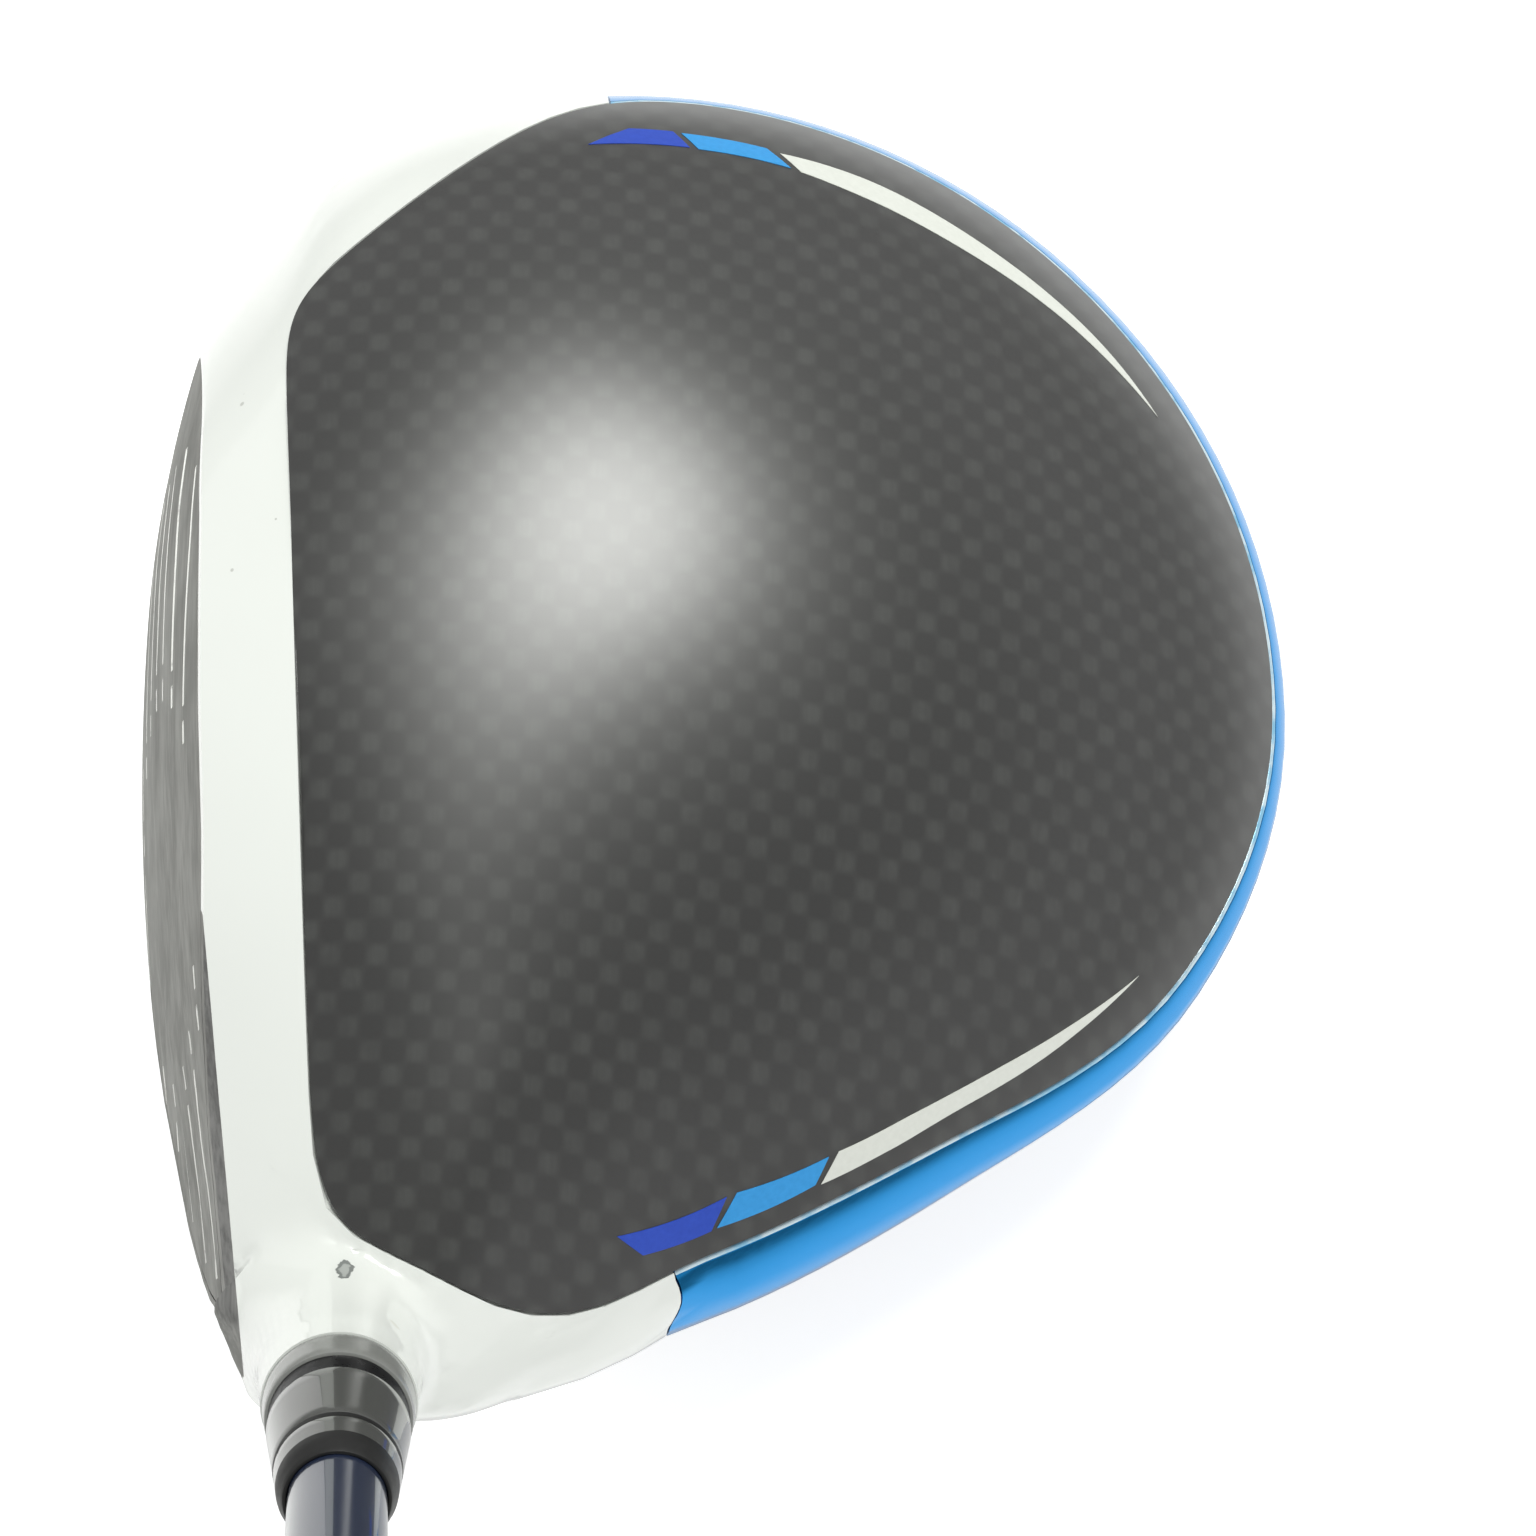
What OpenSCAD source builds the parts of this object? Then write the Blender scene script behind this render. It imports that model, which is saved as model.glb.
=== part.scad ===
// Golf driver at address: the face looks to -X, the toe points to +Y, the golfer stands on the -Y side.
// The origin is the middle of the flat rest pad under the sole. Lengths are in millimetres.

/* [Club] */
// Angle between the shaft and the ground
lie = 57; // [54:0.5:60]
// Lean of the face
loft = 8; // [7:0.5:12]
// Length along the shaft line, from the ground to the butt
club_length = 1162; // [1100:1:1180]

/* [Head outline] */
// Distance of the crown's top point in front of the rest pad
crown_top_front = 12; // [8:0.5:16]
// Outline radius from the crown's top point to the back
reach_back = 69.8; // [66:0.2:74]
// Outline radius between back and toe
reach_back_toe = 67.8; // [64:0.2:70]
// Outline radius to the toe
reach_toe = 63.4; // [61:0.2:67]
// Outline radius to the rounded front of the toe
reach_toe_front = 57.6; // [55:0.2:60]
// Outline radius behind the face's toe end
reach_face_toe = 51; // [49.6:0.2:54]
// Outline radius to the nose that the face cuts away
reach_nose = 53; // [51:0.2:56]
// Outline radius between nose and hosel
reach_heel_front = 65; // [62:0.2:68]
// Outline radius under the hosel
reach_hosel = 77.4; // [75:0.2:80]
// Outline radius of the flank behind the hosel
reach_flank = 70.8; // [68:0.2:73]
// Outline radius to the heel
reach_heel = 63.4; // [61:0.2:66]
// Outline radius between heel and back
reach_back_heel = 60.4; // [58:0.2:64]
// Outline radius at the heel side of the back
reach_back_corner = 66.4; // [64:0.2:69]

/* [Head heights] */
// Height of the crown's top point
crown_height = 63; // [58:0.5:68]
// Height of the sole skin above the ground, under the crown's top point
sole_lift = 2.4; // [1.6:0.1:3.5]
// Height of the widest line at the back
waist_back = 25; // [22:0.5:28]
// Height of the widest line at the toe
waist_toe = 29; // [26:0.5:32]
// Height of the widest line behind the face
waist_nose = 32; // [29:0.5:35]
// Height of the widest line at the heel
waist_heel = 30; // [27:0.5:33]
// Height of the widest line under the hosel
waist_hosel = 46; // [43:0.5:49]

/* [Face] */
// Distance of the face centre in front of the rest pad
face_front = 55.5; // [53:0.5:57]
// Distance of the bulge's middle towards the toe
face_toe = 5; // [2:0.5:8]
// Height of the face centre
face_height = 32; // [29:0.5:35]
// Sideways bulge radius
face_bulge = 305; // [250:5:360]
// Vertical roll radius
face_roll = 305; // [250:5:360]
// Thickness of the face plate
face_thick = 2.8; // [2:0.1:3.6]
// Number of score lines
score_lines = 7; // [5:1:7]
// Pitch of the score lines
score_pitch = 5.3; // [4.8:0.1:5.6]
// Height of the middle score line
score_height = 31.2; // [30:0.1:32.4]
// Width of a score line
score_width = 0.7; // [0.5:0.05:0.9]
// Longest reach of the score lines from toe to heel
score_length = 84; // [78:1:88]
// Distance of the scored area's middle from the rest pad, towards the heel
score_heel = 22.4; // [20:0.2:24]
// Radius of the unscored circle in the middle
score_blank = 18.5; // [17:0.1:20]
// Length of the short dash beside the circle
score_dash = 2.2; // [1.6:0.1:2.8]
// Gap between a dash and its line
score_gap = 1.5; // [1:0.1:2]
// Distance of the lines' ends from the plate's edge
score_margin = 2.5; // [1.5:0.5:3.5]
// Depth of a score line
score_depth = 0.35; // [0.2:0.05:0.5]

/* [Shells] */
// Wall of the cast front body
body_wall = 1.2; // [0.9:0.1:1.6]
// Thickness of the carbon panels
panel_thick = 0.9; // [0.6:0.1:1.2]
// Thickness of the ledge that carries a panel
ledge_thick = 0.9; // [0.7:0.1:1.2]
// Width of the ledge that carries a panel
ledge_width = 6; // [4:0.5:8]
// Wall of the rear ring
ring_wall = 2.4; // [2.0:0.1:3.0]
// Width of the ring above the widest line, in plan, at the back
ring_run_back = 1.8; // [1.4:0.1:3]
// Width of the ring above the widest line, in plan, at the toe
ring_run_toe = 3.6; // [2.8:0.1:4.2]
// Width of the ring above the widest line, in plan, at the heel
ring_run_heel = 4.6; // [3.8:0.1:5.2]
// Width of the ring below the widest line, in plan
ring_tuck = 7; // [5:0.5:9]
// Glue line between a panel and its ledge
glue_gap = 0.15; // [0.1:0.05:0.25]
// Gap at the seams between the shells
seam_gap = 0.2; // [0.1:0.05:0.3]

/* [Crown and sole seams] */
// Bearing of the seam between body and ring at the toe
toe_seam = 90.3; // [88:0.1:93]
// Angle from the hosel's bearing back to the seam between body and ring at the heel
seam_past_hosel = 22.6; // [20:0.1:25]
// Distance of the crown panel's front edge from the crown's top point
crown_front_edge = 30.3; // [27:0.2:32]
// Bearing that the crown panel's front edge faces
crown_front_bearing = 183.5; // [181:0.5:187]
// Distance of the crown panel's toe edge from the crown's top point
crown_toe_edge = 44.4; // [42:0.2:47]
// Bearing that the crown panel's toe edge faces
crown_toe_bearing = 135; // [130:0.5:140]
// Distance of the crown panel's heel edge from the crown's top point
crown_heel_edge = 63.6; // [61:0.2:66]
// Bearing that the crown panel's heel edge faces
crown_heel_bearing = 245; // [241:0.5:249]
// Distance of the sole panel's front edge from the crown's top point
sole_front_edge = 10; // [8:0.5:12]

/* [Hosel] */
// Distance of the shaft line in front of the rest pad
hosel_front = 36; // [34:0.2:38]
// Distance from the rest pad to where the shaft line meets the ground
hosel_heel = 37.4; // [36:0.2:39]
// Distance along the shaft line from the ground to the hosel's rim
hosel_top = 69; // [66:0.5:72]
// Outer diameter of the hosel's rim
hosel_rim = 14.4; // [14:0.1:15.4]
// Length of the flare below the rim
flare_length = 16; // [12:0.5:20]
// Length over which the flare sinks into the head
flare_tail = 14; // [12:0.5:16]
// Spread of the flare at its foot
flare_spread = 3.5; // [2:0.5:5]
// Outer diameter of the hosel tube
tube_od = 12.6; // [12.4:0.1:13]
// Distance along the shaft line from the ground to the tube's foot
tube_foot = 30; // [29:0.5:31]
// Wall round the screw passage below the tube
passage_wall = 1.8; // [1.4:0.1:2.4]

/* [Sleeve] */
// Outer diameter of the loft sleeve inside the hosel
sleeve_od = 10; // [9.8:0.1:10.2]
// Length of the sleeve below the hosel's rim
sleeve_depth = 32; // [31:0.5:34]
// Number of splines
spline_count = 12; // [8:2:16]
// Diameter over the splines
spline_od = 11.4; // [11:0.1:11.6]
// Length of the splines
spline_length = 5; // [4:0.5:7]
// Width of a spline
spline_width = 1.2; // [0.9:0.1:1.5]
// Step of the sleeve's neck that the collar sits on
neck_step = 0.4; // [0.3:0.05:0.6]
// Diameter of the collar on the hosel's rim
collar_od = 13.7; // [13.2:0.1:14]
// Height of the collar
collar_height = 3.3; // [2.6:0.1:4]
// Height of the dark band above the collar
band_height = 2.4; // [1.8:0.1:3]
// Depth of the dark band below the collar's surface
band_depth = 0.3; // [0.2:0.05:0.5]
// Height of the ferrule above the dark band
ferrule_height = 11.4; // [10:0.2:13]
// Height of the groove above the ferrule's foot
groove_rise = 7.6; // [6.5:0.1:8.5]
// Width of the groove in the ferrule
groove_width = 0.6; // [0.4:0.05:0.8]
// Depth of the groove in the ferrule
groove_depth = 0.3; // [0.2:0.05:0.4]
// Diameter of the ferrule's top
ferrule_top_od = 10.4; // [10:0.1:10.8]
// Thickness of the ferrule's end at the shaft
ferrule_lip = 0.3; // [0.2:0.05:0.5]
// Length of the ferrule's rounded end
ferrule_end = 1.8; // [1.2:0.1:2.4]

/* [Shaft and grip] */
// Shaft diameter at the tip
tip_od = 8.5; // [8.4:0.05:8.6]
// Shaft diameter at the butt
butt_od = 15.2; // [14.6:0.1:15.8]
// Wall of the shaft
shaft_wall = 1.2; // [1:0.1:1.5]
// Length of the parallel tip
tip_length = 105; // [90:1:140]
// Length of the parallel butt
butt_length = 290; // [280:1:330]
// Floor between the shaft's tip and the thread in the sleeve
sleeve_floor = 2; // [1.5:0.1:3]
// Thickness of the grip tape
tape_thick = 0.3; // [0.2:0.05:0.5]
// Length of the grip
grip_length = 267; // [255:1:275]
// Diameter of the grip's mouth
grip_mouth_od = 18; // [17.6:0.1:19]
// Diameter of the grip near the butt
grip_butt_od = 26.5; // [25:0.1:28]
// Rounding of the grip's mouth
grip_lip = 1.5; // [1:0.1:2]
// Length of the grip's flare under the butt cap
grip_flare = 12; // [8:0.5:16]
// Diameter of the butt cap
cap_od = 31; // [29:0.1:33]
// Height of the butt cap
cap_height = 6; // [5:0.5:8]
// Rounding of the butt cap
cap_round = 3; // [2:0.1:4]
// Diameter of the vent hole in the butt cap
vent_d = 3; // [2.4:0.1:3.6]

/* [Screws] */
// Diameter of the screw shanks
screw_d = 4.9; // [4.7:0.05:4.95]
// Diameter of the threaded holes
thread_d = 5; // [5:0.05:5.1]
// Diameter of the hosel screw's head
screw_head_d = 8.2; // [7.8:0.1:8.6]
// Height of the hosel screw's head
screw_head_h = 5; // [4:0.1:6]
// Length of the hosel screw's shank
screw_length = 14.5; // [13.5:0.1:15.5]
// Thickness of the web that the hosel screw pulls on
seat_web = 3; // [2.5:0.1:4]
// Gap between the sleeve's foot and the web
foot_gap = 0.5; // [0.3:0.1:0.8]
// Diameter of the washer
washer_d = 9.4; // [9:0.1:9.8]
// Thickness of the washer
washer_t = 1; // [0.8:0.1:1.2]
// Across the lobes of the driver socket
lobe_d = 4; // [3.6:0.1:4.2]
// Depth of the driver socket
lobe_depth = 2; // [1.5:0.1:2.5]

/* [Keel and weight] */
// Width of the keel
keel_width = 24; // [22:0.5:26]
// Distance of the weight behind the rest pad
weight_back = 34; // [32:0.5:35]
// Distance of the keel's front behind the crown's top point
keel_nose = 4; // [2:0.5:6]
// Length of the flat rest pad behind the origin
pad_back = 14; // [12:0.5:16]
// Rise of the keel behind the rest pad, as an angle
keel_rise = 14; // [12:0.5:16]
// Diameter of the weight
weight_d = 13.8; // [13:0.1:14.4]
// Height of the weight
weight_h = 7.5; // [7:0.1:8]
// Depth of the weight's underside in the keel
weight_sink = 0.6; // [0.4:0.1:1]
// Wall round the weight
port_wall = 1.6; // [1.2:0.1:1.8]
// Height of the floor above the weight
port_floor = 5.2; // [4:0.1:6]
// Outer diameter of the threaded bush
bush_od = 8; // [7.4:0.1:8.6]
// Diameter of the weight screw's head
weight_head_d = 8.2; // [7.8:0.1:8.6]
// Height of the weight screw's head
weight_head_h = 3.2; // [2.6:0.1:3.4]
// Depth of the weight screw's head below the weight's underside
weight_head_sink = 0.8; // [0.5:0.1:1.2]

/* [Slot] */
// Length of the flex slot behind the leading edge
slot_length = 62; // [50:1:70]
// Width of the flex slot
slot_width = 3.6; // [3:0.1:4.2]
// Distance of the slot behind the face centre
slot_back = 11; // [10:0.5:12]
// Depth of the filler below the sole
slot_sink = 0.4; // [0.2:0.1:0.6]
// Thickness of the filler
slot_fill = 2.4; // [2:0.1:3]

/* [Clearances] */
// Sliding clearance of the sleeve, on the radius
sleeve_clear = 0.04; // [0.02:0.01:0.08]
// Clearance round the splines
spline_clear = 0.12; // [0.08:0.02:0.2]
// Clearance of glued turned parts, on the radius
glue_clear = 0.05; // [0.03:0.01:0.08]
// Clearance of loose turned parts, on the radius
loose_clear = 0.3; // [0.2:0.05:0.5]
// Clearance of the weight in its port, on the radius
weight_clear = 0.1; // [0.06:0.02:0.16]
// Axial gap at seats that meet face to face
seat_gap = 0.05; // [0.02:0.01:0.1]

/* [Hidden] */
$fn = 64;

// Fullness of the crown and the sole: a power of the radius and a power of the height
crown_back_shape = [2.0, 0.85];
crown_front_shape = [2.5, 0.46];
sole_back_shape = [2.2, 0.52];
sole_front_shape = [3.4, 0.5];
crown_hosel_shape = [2.0, 0.8];
sole_hosel_shape = [2.5, 0.5];
// Sharpness of the rounded corners of the seams
corner_sharpness = 22;
hosel_bearing = 254;
heel_seam = hosel_bearing + seam_past_hosel;
// Length by which a cut runs past the solid that it cuts
past = 1;
// Outline: bearing round the crown's top point, radius of the widest line, height of the widest line
outline = [
    [0, reach_back, waist_back],
    [45, reach_back_toe, (waist_back + waist_toe) / 2],
    [90, reach_toe, waist_toe],
    [126, reach_toe_front, (waist_toe + waist_nose) / 2],
    [152, reach_face_toe, waist_nose],
    [180, reach_nose, waist_nose],
    [226, reach_heel_front, (2 * waist_nose + waist_hosel) / 3],
    [hosel_bearing, reach_hosel, waist_hosel],
    [266, reach_flank, (waist_heel + waist_hosel) / 2],
    [280, reach_heel, waist_heel],
    [306, reach_back_heel, (waist_back + waist_heel) / 2],
    [334, reach_back_corner, waist_back]];

// Steps of the surfaces
crown_steps = 120;
ring_steps = 60;
seam_top_steps = 60;
seam_side_steps = 8;
seam_sole_steps = 40;
body_rows = [0, 0.03, 0.1, 0.22, 0.36, 0.5, 0.64, 0.78, 0.9, 1];
body_inner_rows = [1, 0.75, 0.4, 0.12];
panel_rows = [0.1, 0.22, 0.35, 0.48, 0.6, 0.71, 0.81, 0.9, 0.96, 1];
ledge_rows = [0, 0.5, 1];
panel_inner_rows = [0.6, 0.3];
face_rows = [0.3, 0.65, 1];

function mix(a, b, w) = a + (b - a) * w;
function frontness(t) = (1 - cos(t)) / 2;

// Smooth closed curve through the outline's column c at bearing t
function knot_slope(i, c) = let(n = len(outline), p = outline[(i + n - 1) % n], q = outline[(i + 1) % n])
    (q[c] - p[c]) / ((q[0] - p[0] + 360) % 360);
function around(t, c) = let(
    n = len(outline),
    u = ((t % 360) + 360) % 360,
    i = max([for (j = [0 : n - 1]) if (outline[j][0] <= u) j]),
    j = (i + 1) % n,
    span = j == 0 ? 360 - outline[i][0] : outline[j][0] - outline[i][0],
    s = (u - outline[i][0]) / span,
    m0 = knot_slope(i, c) * span,
    m1 = knot_slope(j, c) * span)
    (2 * s ^ 3 - 3 * s ^ 2 + 1) * outline[i][c] + (s ^ 3 - 2 * s ^ 2 + s) * m0
    + (3 * s ^ 2 - 2 * s ^ 3) * outline[j][c] + (s ^ 3 - s ^ 2) * m1;
function reach(t) = around(t, 1);
function waist(t) = around(t, 2);

// Outer skin: t is the bearing round the crown's top point, 0 at the back and 90 at the toe,
// f is 1 at the top of the crown, 0 on the widest line and -1 under the sole
function hoselness(t) = max(0, cos(t - hosel_bearing)) ^ 10;
function shape(t, f) = f >= 0
    ? mix(mix(crown_back_shape, crown_front_shape, frontness(t)), crown_hosel_shape, hoselness(t))
    : mix(mix(sole_back_shape, sole_front_shape, frontness(t)), sole_hosel_shape, hoselness(t));
function skin(t, f) = let(
    s = shape(t, f),
    r = reach(t) * pow(cos(90 * abs(f)), 2 / s[0]),
    rise = (f >= 0 ? crown_height : sole_lift) - waist(t))
    [r * cos(t) - crown_top_front, r * sin(t), waist(t) + rise * pow(sin(90 * abs(f)), 2 * s[1])];
function normal(t, f) = let(
    e = 0.004,
    g = min(max(f, e - 1), 1 - e),
    n = cross(skin(t + 0.2, g) - skin(t - 0.2, g), skin(t, g + e) - skin(t, g - e)))
    n / norm(n);
function inset(q, d) = skin(q[0], q[1]) - d * normal(q[0], q[1]);
function crown_at(t, r) = [t, acos(pow(r / reach(t), shape(t, 1)[0] / 2)) / 90];
function sole_at(t, r) = [t, -acos(pow(r / reach(t), shape(t, -1)[0] / 2)) / 90];

// Seams, as distances from the crown's top point in plan
function soft_min(v) = pow([for (x = v) pow(x, -corner_sharpness)] * [for (x = v) 1], -1 / corner_sharpness);
function line_at(t, bearing, d) = d / max(cos(t - bearing), 0.02);
function ring_run(t) = mix(ring_run_back, sin(t) > 0 ? ring_run_toe : ring_run_heel, sin(t) ^ 2);
function crown_edge(t, gap = 0) = soft_min([
    line_at(t, crown_front_bearing, crown_front_edge - gap),
    line_at(t, crown_toe_bearing, crown_toe_edge - gap),
    line_at(t, crown_heel_bearing, crown_heel_edge - gap),
    reach(t) - ring_run(t) - gap]);
function sole_edge(t, gap = 0) = soft_min([
    line_at(t, 180, sole_front_edge - gap),
    reach(t) - ring_tuck - gap]);

// Face surface
function face_x(y, z) = tan(loft) * (z - face_height) - face_front
    + (y - face_toe) ^ 2 / (2 * face_bulge) + (z - face_height) ^ 2 / (2 * face_roll);
function on_face(p) = [face_x(p[1], p[2]), p[1], p[2]];

// Rear edge of the front body, round from the heel over the crown to the toe and back under the sole
ledge_depth = panel_thick + glue_gap;
ledge_foot = ledge_depth + ledge_thick;
function ledge_share(i, n) = min(1, 0.03 + min(i, n - i) / 3);
rear_edge = concat(
    [for (i = [0 : seam_top_steps - 1]) let(t = mix(heel_seam, toe_seam, i / seam_top_steps))
        crown_at(t, crown_edge(t))],
    [for (i = [0 : seam_side_steps - 1]) mix(crown_at(toe_seam, crown_edge(toe_seam)),
        sole_at(toe_seam, sole_edge(toe_seam)), i / seam_side_steps)],
    [for (i = [0 : seam_sole_steps - 1]) let(t = mix(toe_seam, heel_seam, i / seam_sole_steps))
        sole_at(t, sole_edge(t))],
    [for (i = [0 : seam_side_steps - 1]) mix(sole_at(heel_seam, sole_edge(heel_seam)),
        crown_at(heel_seam, crown_edge(heel_seam)), i / seam_side_steps)]);
// The same edge moved inwards by the width of the panel ledge, which ends at the ring
side_creep = 0.08;
ledge_edge = concat(
    [for (i = [0 : seam_top_steps - 1]) let(t = mix(heel_seam, toe_seam, i / seam_top_steps))
        crown_at(t, crown_edge(t) - ledge_width * ledge_share(i, seam_top_steps))],
    [for (i = [0 : seam_side_steps - 1]) rear_edge[seam_top_steps + i] - [side_creep, 0]],
    [for (i = [0 : seam_sole_steps - 1]) let(t = mix(toe_seam, heel_seam, i / seam_sole_steps))
        sole_at(t, sole_edge(t) - ledge_width * ledge_share(i, seam_sole_steps))],
    [for (i = [0 : seam_side_steps - 1])
        rear_edge[seam_top_steps + seam_side_steps + seam_sole_steps + i] + [side_creep, 0]]);
body_steps = len(rear_edge);

// Front edge of the front body: where the line from the nose to the rear edge leaves the face
nose = [180, 0];
function face_share(g, lo = 0, hi = 1, n = 22) = n == 0 ? hi : let(
    m = (lo + hi) / 2,
    p = skin(mix(nose, g, m)[0], mix(nose, g, m)[1]))
    p[0] < face_x(p[1], p[2]) ? face_share(g, m, hi, n - 1) : face_share(g, lo, m, n - 1);
front_edge = [for (g = rear_edge) mix(nose, g, face_share(g))];

// Solid between a first point, closed rings of equal length and a last point
module ringed_solid(first, rings, last, flip = false) {
    n = len(rings[0]);
    rows = len(rings);
    points = concat([first], [for (r = rings) each r], [last]);
    function id(i, k) = 1 + i * n + (k + n) % n;
    faces = concat(
        [for (k = [0 : n - 1]) [0, id(0, k + 1), id(0, k)]],
        [for (i = [0 : rows - 2], k = [0 : n - 1]) each [
            [id(i, k), id(i, k + 1), id(i + 1, k + 1)],
            [id(i, k), id(i + 1, k + 1), id(i + 1, k)]]],
        [for (k = [0 : n - 1]) [1 + rows * n, id(rows - 1, k), id(rows - 1, k + 1)]]);
    polyhedron(points, flip ? [for (q = faces) [q[2], q[1], q[0]]] : faces, convexity = 8);
}

// Solid swept along sections of equal length, closed into a loop or capped at both ends
module swept_solid(sections, closed, flip = false) {
    m = len(sections[0]);
    n = len(sections);
    function id(k, j) = ((k + n) % n) * m + (j + m) % m;
    faces = concat(
        [for (k = [0 : n - (closed ? 1 : 2)], j = [0 : m - 1]) each [
            [id(k, j), id(k, j + 1), id(k + 1, j + 1)],
            [id(k, j), id(k + 1, j + 1), id(k + 1, j)]]],
        closed ? [] : [[for (j = [m - 1 : -1 : 0]) id(0, j)], [for (j = [0 : m - 1]) id(n - 1, j)]]);
    turned_faces = flip ? [for (q = faces) [for (i = [len(q) - 1 : -1 : 0]) q[i]]] : faces;
    polyhedron([for (s = sections) each s], turned_faces, convexity = 8);
}

// Places children on the shaft line, at a distance from the ground
module on_shaft_line(s = 0) {
    translate([-hosel_front, -hosel_heel, 0]) rotate([90 - lie, 0, 0]) translate([0, 0, s]) children();
}

// Six-lobed driver socket
lobe_wave = 0.12;
module lobe_socket(depth) {
    linear_extrude(depth) polygon([for (a = [0 : 10 : 350])
        lobe_d / 2 * (1 - lobe_wave + lobe_wave * cos(6 * a)) * [cos(a), sin(a)]]);
}

// Turned part from [radius, height] points
module turned(profile) {
    rotate_extrude() polygon(profile);
}

// Ring of rectangular section
module tube(r_in, r_out, z0, z1) {
    turned([[r_in, z0], [r_out, z0], [r_out, z1], [r_in, z1]]);
}

// Head

// Solid inside the whole outer skin
module head_solid() {
    steps = [for (t = [0 : 6 : 354]) t];
    ringed_solid(skin(0, 1), [for (f = [0.9 : -0.15 : -0.9]) [for (t = steps) skin(t, f)]], skin(0, -1));
}

// Front edge of the face opening, one wall inside the skin
function rim_inside(q, d) = on_face(inset(q, d));

module body_shell() {
    swept_solid([for (k = [0 : body_steps - 1]) let(a = front_edge[k], b = rear_edge[k], c = ledge_edge[k])
        concat(
            [for (w = body_rows) inset(mix(a, b, w), 0)],
            [inset(b, ledge_depth), inset(c, ledge_depth), inset(c, ledge_foot)],
            [for (w = body_inner_rows) inset(mix(a, b, w), w == 1 ? ledge_foot : body_wall)],
            [rim_inside(a, body_wall)])], true, true);
}

flare_sides = 48;
flare_rise = [for (i = [0 : 8]) i / 8];
tail_foot = hosel_top - flare_length - flare_tail;
module hosel_flare() {
    on_shaft_line() turned($fn = flare_sides, concat(
        [[0, tail_foot], [tube_od / 2 + passage_wall, tail_foot]],
        [for (w = flare_rise)
            [hosel_rim / 2 + flare_spread * (1 - w) ^ 3, hosel_top - flare_length * (1 - w)]],
        [[0, hosel_top]]));
}

module screw_passage() {
    intersection() {
        on_shaft_line() cylinder(d = tube_od + 2 * (glue_clear + passage_wall), h = tube_foot + seat_web,
            $fn = flare_sides);
        head_solid();
    }
}

module slot_outline(margin) {
    for (s = [-1, 1])
        translate([0, s * (slot_length - slot_width) / 2]) circle(d = slot_width + 2 * margin);
    square([slot_width + 2 * margin, slot_length - slot_width], center = true);
}

slot_x = slot_back - face_front;
module front_body() {
    color("white") resize([0, 0, 0]) difference() {
        union() {
            body_shell();
            hosel_flare();
            screw_passage();
        }
        on_shaft_line(-past)
            cylinder(d = tube_od + 2 * glue_clear, h = hosel_top + 2 * past, $fn = flare_sides);
        translate([slot_x, 0, 0]) linear_extrude(waist_nose / 2) slot_outline(0);
        face_solid(seam_gap / 2, flare_spread, face_thick + seam_gap);
    }
}

// Score lines as arcs that follow the bulge, each a dash and a line on both sides of the unscored circle
function bulge_angle(y) = asin((y - face_toe) / face_bulge);
function half_blank(z) = sqrt(max(0, score_blank ^ 2 - (z - face_height) ^ 2));
score_rim = [for (a = front_edge) inset(a, body_wall + seam_gap + score_margin)];
function rim_cuts(z) = [for (i = [0 : len(score_rim) - 1])
    let (a = score_rim[i], b = score_rim[(i + 1) % len(score_rim)])
    if ((a.z - z) * (b.z - z) < 0) a.y + (b.y - a.y) * (z - a.z) / (b.z - a.z)];
arc_steps = 240;
module score_arc(z, low, high) {
    from = bulge_angle(high);
    to = bulge_angle(low);
    translate([face_x(face_toe, z) + face_bulge, face_toe, z - score_width / 2])
        rotate([0, 0, 180 - from]) rotate_extrude(angle = from - to, $fn = arc_steps)
            translate([face_bulge - score_depth, 0]) square([2 * score_depth, score_width]);
}
module score_cuts() {
    for (i = [0 : score_lines - 1]) {
        z = score_height + (i - (score_lines - 1) / 2) * score_pitch;
        dash = half_blank(z);
        line = dash + score_dash + score_gap;
        edges = rim_cuts(z);
        score_arc(z, dash - score_heel, dash + score_dash - score_heel);
        score_arc(z, line - score_heel, min(score_length / 2 - score_heel, max(edges)));
        score_arc(z, -dash - score_dash - score_heel, -dash - score_heel);
        score_arc(z, max(-score_length / 2 - score_heel, min(edges)), -line - score_heel);
    }
}

// Plate that follows the face inside its rim, from a depth in front to a depth behind the face
face_middle = on_face([0, 0, face_height]);
module face_solid(margin, front, behind) {
    rim = [for (a = front_edge) inset(a, body_wall + margin)];
    into = [cos(loft), 0, -sin(loft)];
    outer = [for (w = face_rows) [for (p = rim) on_face(mix(face_middle, p, w)) - front * into]];
    ringed_solid(face_middle - front * into,
        concat(outer, [[for (p = outer[len(outer) - 1]) p + (front + behind) * into]]),
        face_middle + behind * into);
}

module face_plate() {
    color("gray") resize([0, 0, 0]) difference() {
        face_solid(seam_gap, 0, face_thick);
        score_cuts();
    }
}

// Radii of a panel's rings from its middle to its edge, and of its underside from the edge inwards
function outer_radii(edge) = [for (w = panel_rows) w * edge];
function inner_radii(edge) = concat([for (w = ledge_rows) edge - w * ledge_width],
    [for (w = panel_inner_rows) w * edge]);

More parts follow.
